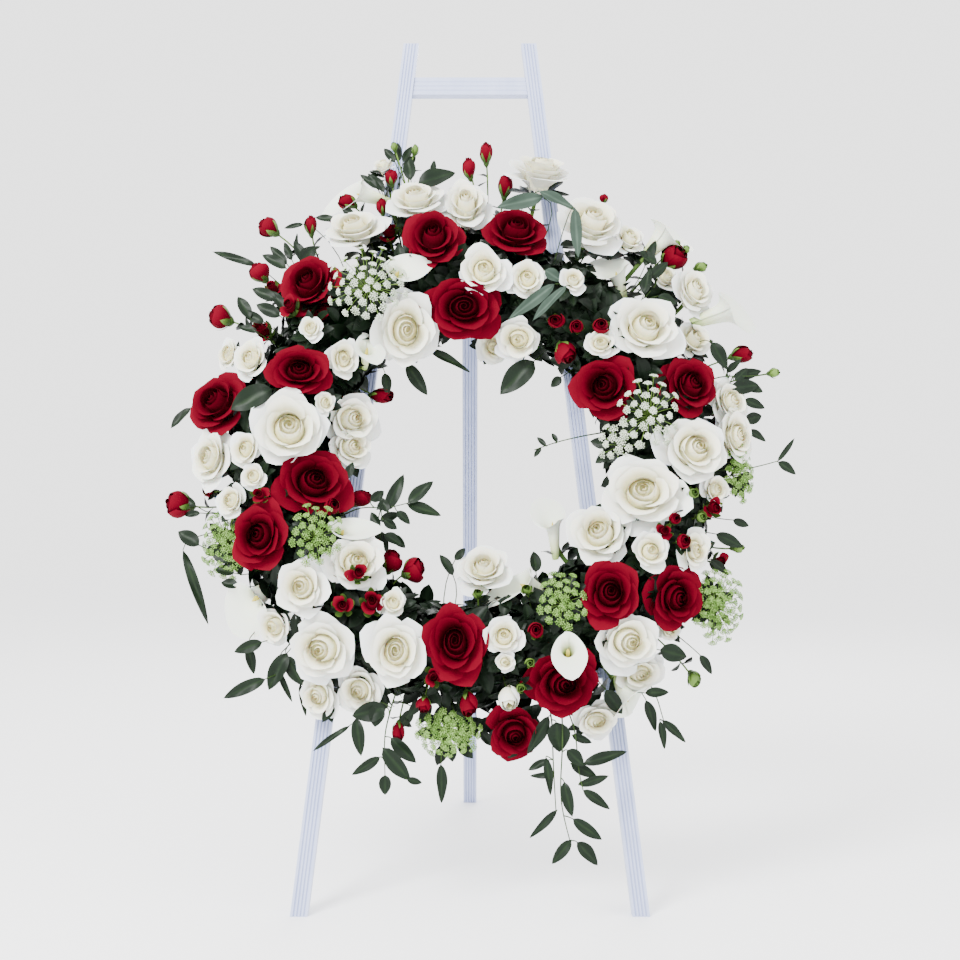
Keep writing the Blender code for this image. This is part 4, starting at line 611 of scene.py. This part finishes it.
def sepals(count=5, rows=6, columns=5):
    """Narrow green leaves under a bud that hug it and turn out at their tips, with the round hip below."""
    made = []
    for k in range(count):
        across, along = np.linspace(-1, 1, columns)[None, :], np.linspace(0, 1, rows)[:, None]
        distance = 0.30 + 0.66 * np.sin(along * 1.9) + 0.25 * np.clip(along - 0.75, 0, 1)
        angle = 2 * math.pi * k / count + across * 0.52 * (1 - along**1.5)
        made.append(turned(distance, angle, -0.92 + 1.15 * along))
    return made


spray_roses, red_buds, calyxes = Bunch(), Bunch(), Bunch()
for head in WHITE_ROSETTES:
    if head[0] == "bud":
        set_flower(spray_roses, head, bud_petals(luck), luck)
    else:
        set_flower(spray_roses, head, rose_petals(13, luck, 1.04, 0.0, 0.045, 0.35), luck)
for bud in RED_BUDS:
    head = ("bud", *bud)
    if min(bud[2:4]) >= 20 and len(bud) < 7:
        set_flower(red_buds, head, rose_petals(9, luck, 0.85, 0.10, 0.04, 0.7), luck)
    else:
        set_flower(red_buds, head, bud_petals(luck), luck)
for bud in RED_BUDS + GREEN_BUDS:
    middle, radius, direction, stretch, tip = seat("bud", *bud)
    axes = head_axes(direction, luck.uniform(0, 6.28))
    for sheet in sepals():
        tone = np.linspace(0.2, 0.9, len(sheet))[:, None]
        calyxes.add(sheet @ axes.T * radius * stretch * 0.96 + middle, tone)
    spine = np.stack([np.zeros(5), np.zeros(5), np.linspace(-1.15, -0.55, 5)], axis=1)
    hip = rod(spine, np.array([0.12, 0.30, 0.42, 0.44, 0.30]), 8)
    calyxes.add(hip @ axes.T * radius * stretch + middle, 0.3, closed=True)
    if bud in GREEN_BUDS:
        for sheet, t in bud_petals(luck, 5):
            calyxes.add(sheet @ axes.T * radius * stretch + middle, 0.5 + 0.4 * t)
spray_roses.place("spray_roses", white_silk, "white_petals", GREENERY)
red_buds.place("red_buds", red_velvet, "red_petals", GREENERY)

# Stems: every flower's own green stem, bent where it has to be, goes down between its neighbours into the
# foam. A few arching sprigs stand free below and beside the ring.
STEM_FOOT_DEPTH = 0.030
STEM_THICKNESS = {"rose": 0.0030, "calla": 0.0034, "rosette": 0.0015, "bud": 0.0012}
SPRIGS = [
    [(392, 704, 52), (384, 735, 66), (385, 776, 70)],
    [(562, 700, 60), (563, 745, 76), (559, 800, 80), (570, 841, 78)],
    [(552, 712, 60), (553, 760, 70), (556, 812, 70)],
    [(576, 730, 60), (578, 770, 74), (583, 790, 80)],
    [(655, 690, 30), (664, 722, 50)],
    [(362, 506, 60), (385, 509, 68), (408, 503, 74)],
    [(742, 470, 50), (760, 466, 54), (778, 461, 54)],
    [(582, 436, 60), (556, 442, 64), (534, 450, 62)],
    [(722, 375, 60), (745, 377, 64), (768, 374, 62)],
]


def foot_near(point, depth=STEM_FOOT_DEPTH):
    """The point of the foam's heart line's tube, of the given radius, that is nearest to a point."""
    flat = unit(np.array([point[0], point[1], 0.0]))
    heart = flat * RING_RADIUS + np.array([0, 0, SECTION_HEIGHT])
    return heart + unit(point - heart) * depth


def bend(start, lean, end, steps=8):
    """A curve from start to end that leaves along lean: each point is the weighted mean of the start, a
    point along lean, and the end."""
    t = np.linspace(0, 1, steps)[:, None]
    reach = 0.5 * np.linalg.norm(end - start)
    return (1 - t) ** 2 * start + 2 * t * (1 - t) * (start + lean * reach) + t**2 * end


def smooth_line(points, steps=16):
    """A smooth line through points, with its turns rounded by three passes of averaging."""
    points = np.array(points)
    lengths = np.concatenate([[0], np.cumsum(np.linalg.norm(np.diff(points, axis=0), axis=1))])
    at = np.linspace(0, lengths[-1], steps)
    line = np.stack([np.interp(at, lengths, points[:, k]) for k in range(3)], axis=1)
    for _ in range(3):
        line[1:-1] = (line[:-2] + 2 * line[1:-1] + line[2:]) / 4
    return line


stems = Bunch()
large_heads = [*RED_ROSES.values(), *WHITE_HEADS.values(), *CALLAS.values()]
every_head = [head for heads in large_heads for head in heads]
every_head += WHITE_ROSETTES + [("bud", *bud) for bud in RED_BUDS + GREEN_BUDS]
for head in every_head:
    middle, radius, direction, stretch, tip = seat(*head)
    base = middle - direction * radius * (0.85 if head[0] == "calla" else 0.6)
    thickness = STEM_THICKNESS[head[0]]
    path = bend(base, -direction, foot_near(base))
    tone = np.linspace(0.8, 0.2, len(path))[:, None]
    stems.add(rod(path, thickness * np.linspace(1.1, 0.9, len(path)), 7), tone, closed=True)
sprig_lines = []
for stem in SPRIGS:
    points = [in_view(px, py, height / 1000)[0] for px, py, height in stem]
    line = smooth_line([foot_near(points[0]), *points])
    sprig_lines.append(line)
    stems.add(rod(line, np.linspace(0.0013, 0.0007, len(line)), 6), 0.15, closed=True)

# Leaves: thick, glossy dark leaves of ruscus and rose, folded a little along the midrib, and paler, powdery
# ones of eucalyptus in front of the upper roses. A leaf is a base and a tip in the front view.
LEAVES = [
    (265, 679, 223, 698, 13, 70), (287, 653, 268, 690, 18, 60), (286, 656, 303, 686, 15, 60),
    (277, 668, 292, 702, 6, 52), (300, 684, 306, 716, 6, 40), (262, 642, 234, 652, 12, 60),
    (248, 646, 254, 674, 10, 44), (349, 726, 312, 751, 6, 60), (356, 718, 361, 756, 13, 66),
    (380, 757, 352, 775, 10, 70), (383, 748, 410, 781, 17, 72), (385, 775, 385, 795, 12, 70),
    (407, 779, 422, 783, 7, 70), (386, 708, 352, 716, 20, 70), (378, 704, 375, 727, 16, 70),
    (391, 738, 416, 763, 14, 60), (441, 764, 442, 803, 11, 60), (549, 716, 528, 754, 13, 70),
    (548, 760, 528, 770, 8, 60), (553, 775, 530, 776, 6, 66), (546, 757, 551, 795, 9, 74),
    (583, 764, 627, 751, 12, 76), (567, 750, 584, 766, 14, 80), (571, 764, 597, 777, 11, 70),
    (579, 785, 609, 776, 9, 76), (583, 790, 610, 809, 10, 80), (564, 782, 572, 817, 12, 84),
    (573, 819, 602, 840, 12, 78), (557, 810, 530, 838, 8, 70), (571, 840, 552, 864, 11, 80),
    (577, 842, 598, 865, 14, 72), (556, 722, 560, 752, 24, 70), (572, 735, 592, 743, 8, 60),
    (646, 700, 656, 731, 11, 62), (660, 721, 665, 749, 8, 66), (662, 720, 686, 742, 9, 60),
    (645, 693, 669, 692, 10, 64), (386, 511, 404, 474, 13, 70), (408, 503, 433, 481, 13, 76),
    (407, 504, 441, 515, 12, 70), (380, 521, 400, 513, 10, 60), (384, 534, 402, 545, 12, 64),
    (376, 530, 388, 552, 12, 56), (453, 575, 440, 554, 10, 66), (455, 560, 465, 548, 8, 60),
    (190, 408, 170, 428, 10, 24), (272, 389, 230, 409, 25, 112), (183, 550, 208, 624, 10, 44),
    (199, 545, 178, 531, 15, 56), (256, 265, 212, 251, 8, 50), (336, 220, 315, 217, 8, 62),
    (303, 224, 284, 228, 5, 58), (418, 184, 455, 172, 21, 66), (411, 180, 408, 156, 13, 50),
    (433, 174, 434, 160, 6, 52), (427, 348, 470, 371, 9, 66), (407, 364, 427, 395, 14, 60),
    (385, 373, 388, 395, 10, 56), (534, 361, 500, 394, 24, 62), (561, 377, 551, 387, 9, 60),
    (712, 342, 727, 369, 14, 80), (731, 388, 759, 385, 15, 60), (745, 420, 762, 416, 12, 34),
    (778, 461, 795, 438, 5, 56), (778, 462, 796, 474, 10, 52), (660, 650, 687, 657, 18, 84),
    (606, 690, 622, 714, 15, 76), (536, 572, 534, 551, 12, 60), (716, 534, 743, 547, 12, 64),
    (300, 262, 316, 246, 14, 66), (250, 318, 238, 296, 12, 56), (735, 380, 748, 368, 9, 66),
    (395, 162, 384, 148, 8, 44), (398, 162, 398, 142, 8, 42), (403, 162, 412, 146, 8, 44),
    (405, 166, 416, 156, 8, 46), (286, 268, 262, 254, 11, 58), (287, 264, 270, 246, 9, 54),
    (292, 260, 284, 242, 8, 52), (306, 264, 294, 240, 11, 56), (304, 254, 320, 246, 8, 58),
    (276, 300, 252, 288, 12, 60), (280, 316, 256, 304, 13, 62), (286, 310, 270, 290, 10, 62),
    (264, 322, 241, 311, 10, 56), (257, 332, 238, 326, 8, 54), (354, 216, 342, 208, 8, 56),
    (384, 192, 376, 176, 7, 52), (381, 190, 368, 173, 8, 50), (377, 188, 360, 174, 7, 50),
    (400, 264, 399, 243, 11, 96), (588, 288, 608, 314, 22, 86), (644, 294, 650, 268, 11, 84),
    (658, 296, 677, 304, 11, 84), (656, 264, 640, 250, 11, 70), (650, 278, 668, 262, 11, 76),
    (645, 266, 656, 240, 10, 68), (733, 377, 762, 371, 11, 60), (727, 373, 741, 359, 8, 66),
    (743, 383, 763, 392, 10, 54), (196, 506, 178, 494, 8, 50), (200, 513, 184, 515, 7, 50),
    (230, 561, 211, 551, 13, 56), (234, 573, 215, 568, 13, 54), (238, 586, 221, 582, 11, 52),
    (268, 463, 262, 446, 8, 92), (346, 479, 353, 462, 9, 80), (371, 501, 384, 491, 10, 70),
    (377, 509, 393, 500, 10, 72), (384, 520, 397, 529, 9, 66), (379, 529, 371, 512, 10, 70),
    (397, 511, 410, 524, 9, 70), (371, 540, 385, 549, 10, 66), (394, 535, 405, 548, 9, 60),
    (388, 512, 380, 497, 9, 74), (711, 560, 729, 575, 9, 60), (733, 520, 749, 526, 8, 48),
    (744, 400, 765, 408, 10, 50), (748, 430, 766, 441, 9, 44), (700, 655, 712, 674, 9, 66),
    (546, 446, 537, 437, 5, 62), (541, 448, 534, 457, 5, 62), (557, 442, 552, 433, 5, 62),
    (430, 702, 420, 724, 11, 50), (441, 706, 436, 730, 10, 44), (452, 702, 459, 726, 11, 46),
    (470, 718, 477, 738, 10, 40), (412, 710, 400, 728, 11, 46), (481, 730, 491, 746, 9, 40),
    (420, 700, 410, 716, 10, 70), (455, 712, 466, 728, 10, 66), (520, 745, 508, 758, 9, 50),
    (334, 706, 322, 722, 10, 50),
]
EUCALYPTUS = [
    (539, 191, 576, 209, 12, 128), (543, 197, 497, 207, 15, 122), (575, 208, 578, 257, 12, 150),
    (555, 284, 509, 319, 12, 136), (566, 286, 532, 320, 10, 140), (545, 270, 561, 281, 12, 122),
]
LEAF_STALK_REACH = 0.03
LEAF_ON_STEM = 0.001


def blade(base, tip, width, normal, fold=0.35, droop=0.10, widest=0.8, twist=0.0, rows=11, columns=7):
    """A leaf from base to tip: across, a shallow V with its edges raised; along, half an oval that is
    widest where the power puts it and ends in a point; the whole bows down towards its tip."""
    ahead = tip - base
    length = np.linalg.norm(ahead)
    ahead = ahead / length
    side = unit(np.cross(ahead, normal))
    face = np.cross(side, ahead)
    across = np.linspace(-1, 1, columns)[None, :, None]
    along = np.linspace(0, 1, rows)[:, None, None]
    half = 0.5 * width * np.sin(math.pi * np.clip(along, 0, 1) ** widest) ** 0.75 + 0.0003
    turn = twist * along
    out = half * across
    ripple = 0.02 * length * np.sin(9 * along + 2 * across)
    lift = fold * np.abs(out) - droop * length * (along - 0.4) ** 2 + ripple
    return (base + ahead * along * length + side * (out * np.cos(turn) - lift * np.sin(turn))
            + face * (lift * np.cos(turn) + out * np.sin(turn)))


def vein_tone(rows=11, columns=7):
    """Tone over a blade: highest on the midrib, a little higher towards the edges than between."""
    across = np.abs(np.linspace(-1, 1, columns))[None, :]
    tone = 0.35 + 0.45 * np.exp(-((across / 0.18) ** 2)) + 0.15 * across**2
    return np.clip(tone, 0, 1) + np.zeros((rows, 1))


def leaf_finish(name, stops, roughness, shine):
    """A leaf: the tone is the midrib's, a cloud of lighter and darker green lies over it, and its skin has
    pores of about 2 mm, coarser than real ones so that they show."""
    made, tree, shader = material(name, Roughness=roughness, Specular_IOR_Level=shine)
    place = node(tree, "ShaderNodeTexCoord").outputs["Object"]
    tint = node(tree, "ShaderNodeValToRGB", {"stops": stops}, Fac=clouded_tone(tree, place, 38.0, 4.0, 0.9))
    tree.links.new(tint.outputs["Color"], shader.inputs["Base Color"])
    pores = node(tree, "ShaderNodeTexNoise", {"Scale": 600.0, "Detail": 3.0}, Vector=place).outputs["Fac"]
    bump = node(tree, "ShaderNodeBump", {"Strength": 0.3, "Distance": 0.0004}, Height=pores)
    tree.links.new(bump.outputs["Normal"], shader.inputs["Normal"])
    return made


# Ruscus and rose leaf: dark, waxy and half glossy. Eucalyptus: a grey bloom that takes all shine away. Stems
# and sepals: fresh green, paler towards the flower and the sepals' tips, darker down towards the foam.
DARK_LEAF = [(0.0, "080f08"), (0.5, "101c10"), (1.0, "1c2b17")]
dark_leaf = leaf_finish("waxy_ruscus_leaf", DARK_LEAF, 0.42, 0.12)
POWDERY_LEAF = [(0.0, "26312a"), (0.5, "344239"), (1.0, "4c5c51")]
powdery_leaf = leaf_finish("powdery_eucalyptus_leaf", POWDERY_LEAF, 0.7, 0.1)
FRESH_STEM = [(0.0, "1d2c10"), (0.5, "354f1c"), (1.0, "5f7b36")]
green_stem = leaf_finish("fresh_green_stem", FRESH_STEM, 0.55, 0.15)

calyxes.place("bud_calyxes", green_stem, "foliage", GREENERY)
dark_leaves, powdery_leaves = Bunch(), Bunch()
for bunch, leaves in ((dark_leaves, LEAVES), (powdery_leaves, EUCALYPTUS)):
    for px, py, tip_px, tip_py, width_px, height in leaves:
        base, scale = in_view(px, py, height / 1000)
        tip, _ = in_view(tip_px, tip_py, height / 1000 - 0.004)
        normal = unit(np.array([luck.uniform(-0.35, 0.35), luck.uniform(-0.35, 0.35), 1.0]))
        bunch.add(blade(base, tip, width_px * scale, normal, 0.3, 0.12), vein_tone())
        on_sprigs = np.concatenate(sprig_lines)
        gaps = np.linalg.norm(on_sprigs - base, axis=1)
        spot = on_sprigs[gaps.argmin()] if gaps.min() < LEAF_STALK_REACH else foot_near(base)
        if np.linalg.norm(spot - base) > LEAF_ON_STEM:
            stalk = bend(base, unit(unit(base - tip) - np.array([0, 0, 1.2])), spot, 6)
            stems.add(rod(stalk, np.linspace(0.0007, 0.0009, 6), 5), 0.2, closed=True)
dark_leaves.place("large_leaves", dark_leaf, "foliage", GREENERY)
powdery_leaves.place("eucalyptus_leaves", powdery_leaf, "foliage", GREENERY)

# Undergrowth: short dark leaves, packed over the foam so that none of it shows from the front and thinner
# down its outer wall, and more of them up each flower's stem and round its neck, so that little light gets
# between heads.
UNDERGROWTH = 3300
UNDERGROWTH_REACH = 0.094
STEM_LEAVES = {"rose": 8, "rosette": 6, "calla": 5, "bud": 6}
COLLAR_LEAVES = {"rose": 8, "rosette": 6, "calla": 0, "bud": 0}
LEAF_MARGIN = 0.008

undergrowth = Bunch()
for _ in range(UNDERGROWTH):
    turn = luck.uniform(0, 2 * math.pi)
    section = math.radians(luck.uniform(-28, 208))
    outward = np.array([math.cos(turn), math.sin(turn), 0.0])
    ring_way = np.array([-math.sin(turn), math.cos(turn), 0.0])
    away = outward * math.cos(section) + np.array([0, 0, 1.0]) * math.sin(section)
    sideways = np.cross(ring_way, away)
    swing = luck.uniform(0, 2 * math.pi)
    ahead = unit(ring_way * math.cos(swing) + sideways * math.sin(swing) + away * luck.uniform(0.1, 0.9))
    length = luck.uniform(0.024, 0.044)
    base = outward * RING_RADIUS + np.array([0, 0, SECTION_HEIGHT]) + away * luck.uniform(0.040, 0.064)
    tip = base + ahead * length
    heart = unit(np.array([tip[0], tip[1], 0.0])) * RING_RADIUS + np.array([0, 0, SECTION_HEIGHT])
    far = np.linalg.norm(tip - heart)
    if far > UNDERGROWTH_REACH or tip[2] < 0.006:
        continue
    normal = unit(away + luck.uniform(-0.5, 0.5, 3))
    width = length * luck.uniform(0.40, 0.65)
    leaf = blade(base, tip, width, normal, 0.35, 0.2, 0.9, luck.uniform(-0.5, 0.5), 6, 5)
    undergrowth.add(leaf, vein_tone(6, 5) * luck.uniform(0.2, 0.9))
for head in every_head:
    middle, radius, direction, stretch, tip = seat(*head)
    small = 0.65 if head[0] == "bud" else 1.0
    path = bend(middle - direction * radius * 0.6, -direction, foot_near(middle))
    limit = radius * 1.05 + LEAF_MARGIN
    for k in range(STEM_LEAVES[head[0]] + COLLAR_LEAVES[head[0]]):
        collar = k >= STEM_LEAVES[head[0]]
        spot = path[0] if collar else path[luck.integers(1, 6)]
        side = head_axes(direction, luck.uniform(0, 6.28))[:, 0]
        ahead = unit(side + direction * (luck.uniform(-0.1, 0.5) if collar else luck.uniform(0.1, 0.9)))
        base = spot + side * radius * (0.2 if collar else 0.0) - direction * radius * luck.uniform(0, 0.5)
        length = min(luck.uniform(0.028, 0.046) * small, limit / max(0.3, abs(ahead @ side)))
        if (base + ahead * length)[2] < 0.008:
            continue
        width, face = length * luck.uniform(0.42, 0.6), unit(direction + 0.3 * ahead)
        twist = luck.uniform(-0.4, 0.4)
        leaf = blade(base, base + ahead * length, width, face, 0.3, 0.15, 0.9, twist, 7, 5)
        undergrowth.add(leaf, vein_tone(7, 5) * luck.uniform(0.3, 1.0))

# Lace: flat umbels of tiny four-petalled florets on fine rays, white in the upper clusters and still green
# in the lower ones.
LACE = [
    (366, 280, 46, 48, 6, 48, "white"), (650, 410, 36, 44, -4, 34, "white"),
    (617, 441, 26, 26, -6, 16, "white"), (316, 532, 30, 38, 0, 30, "green"),
    (562, 598, 28, 36, 0, 28, "green"), (448, 736, 38, 28, -4, 44, "green"),
    (722, 606, 32, 44, -4, 52, "green"), (743, 470, 18, 38, -4, 28, "green"),
    (221, 542, 30, 44, -4, 48, "green"),
]
LACE_LEAVES = 30
FLORETS = 20
UMBELLET_RADIUS = 0.0066
FLORET_RADIUS = 0.0013


def floret(middle, axis, luck):
    """A floret: a small round star, its rim drawn in four times, domed at the middle."""
    axes = head_axes(axis, luck.uniform(0, 6.28))
    turn = np.linspace(0, 2 * math.pi, 8, endpoint=False)[None, :]
    share = np.array([0.1, 1.0])[:, None]
    reach = FLORET_RADIUS * share * (1 + 0.28 * share * np.cos(4 * turn))
    return turned(reach, turn, FLORET_RADIUS * (0.5 - 0.6 * share**2)) @ axes.T + middle


lace = {"white": Bunch(), "green": Bunch()}
for px, py, half_width, half_height, layer, count, kind in LACE:
    point, scale = in_view(px, py, 0.1)
    out = np.clip((math.hypot(point[0], point[1]) - RING_RADIUS) / HEAD_RADIAL_REACH, -1, 1)
    height = 0.032 + SECTION_HEIGHT + HEAD_RISE * math.sqrt(1 - out * out) + layer / 1000
    centre, scale = in_view(px, py, height)
    radial = unit(np.array([centre[0], centre[1], 0.0]))
    direction = unit(radial * 0.4 * out + np.array([0, 0, 1.0]))
    axes = head_axes(direction, 0.0)
    hub = centre - direction * 0.040
    stems.add(rod(bend(hub, -direction, foot_near(hub)), 0.0013, 6), 0.6, closed=True)
    for _ in range(LACE_LEAVES):
        away = head_axes(direction, luck.uniform(0, 6.28))[:, 0]
        base = centre + away * luck.uniform(0, 0.018) - direction * luck.uniform(0.022, 0.045)
        ahead = unit(away + direction * luck.uniform(-0.2, 0.4))
        length = min(luck.uniform(0.020, 0.036), 0.9 * half_width * scale)
        face = unit(direction + 0.3 * ahead)
        leaf = blade(base, base + ahead * length, 0.5 * length, face, 0.3, 0.15, 0.9, 0.2, 7, 5)
        if base[2] > 0.004 and leaf[..., 2].min() > 0.001:
            undergrowth.add(leaf, vein_tone(7, 5) * luck.uniform(0.5, 1.0))
    for k in range(count):
        share = math.sqrt((k + 0.4) / count)
        turn = k * GOLDEN_TURN
        spot = np.array([half_width * math.cos(turn), half_height * math.sin(turn), 0.0])
        spot = spot * share * scale * 0.92
        spot[2] = -0.010 * share**2 + luck.uniform(-0.003, 0.003)
        middle = centre + axes @ spot
        away = unit(middle - hub)
        stems.add(rod(bend(hub, direction, middle - away * 0.006, 6), 0.0005, 4), 0.9, closed=True)
        wide = UMBELLET_RADIUS * luck.uniform(0.8, 1.15)
        umbellet = head_axes(away, 0.0)
        for j in range(FLORETS):
            spread = math.sqrt((j + 0.5) / FLORETS)
            swing = j * GOLDEN_TURN
            lean = np.array([spread * math.cos(swing), spread * math.sin(swing), 0.0]) * wide
            lean[2] = -0.25 * wide * spread**2
            at = middle + umbellet @ lean
            star = floret(at, unit(at - middle + away * wide * 1.4), luck)
            lace[kind].add(star, luck.uniform(0.4, 1.0), closed=True)
            stems.add(rod(np.stack([middle - away * 0.006, at]), 0.00022, 3), 1.0, closed=True)

# The lace's own leaves lie among the undergrowth, so that piece is placed only here.
undergrowth.place("undergrowth", dark_leaf, "foliage", GREENERY)

# Florets: matt, white over green in the open lace and a yellow green in the lace still in bud.
WHITE_LACE = [(0.0, "8a9c78"), (0.5, "b4c2a8"), (1.0, "d8decf")]
white_lace = leaf_finish("white_lace_floret", WHITE_LACE, 0.7, 0.1)
GREEN_LACE = [(0.0, "35501f"), (0.5, "577a35"), (1.0, "83a45a")]
green_lace = leaf_finish("green_lace_floret", GREEN_LACE, 0.7, 0.05)
lace["white"].place("white_lace", white_lace, "foliage", GREENERY)
lace["green"].place("green_lace", green_lace, "foliage", GREENERY)
stems.place("stems", green_stem, "foliage", GREENERY)
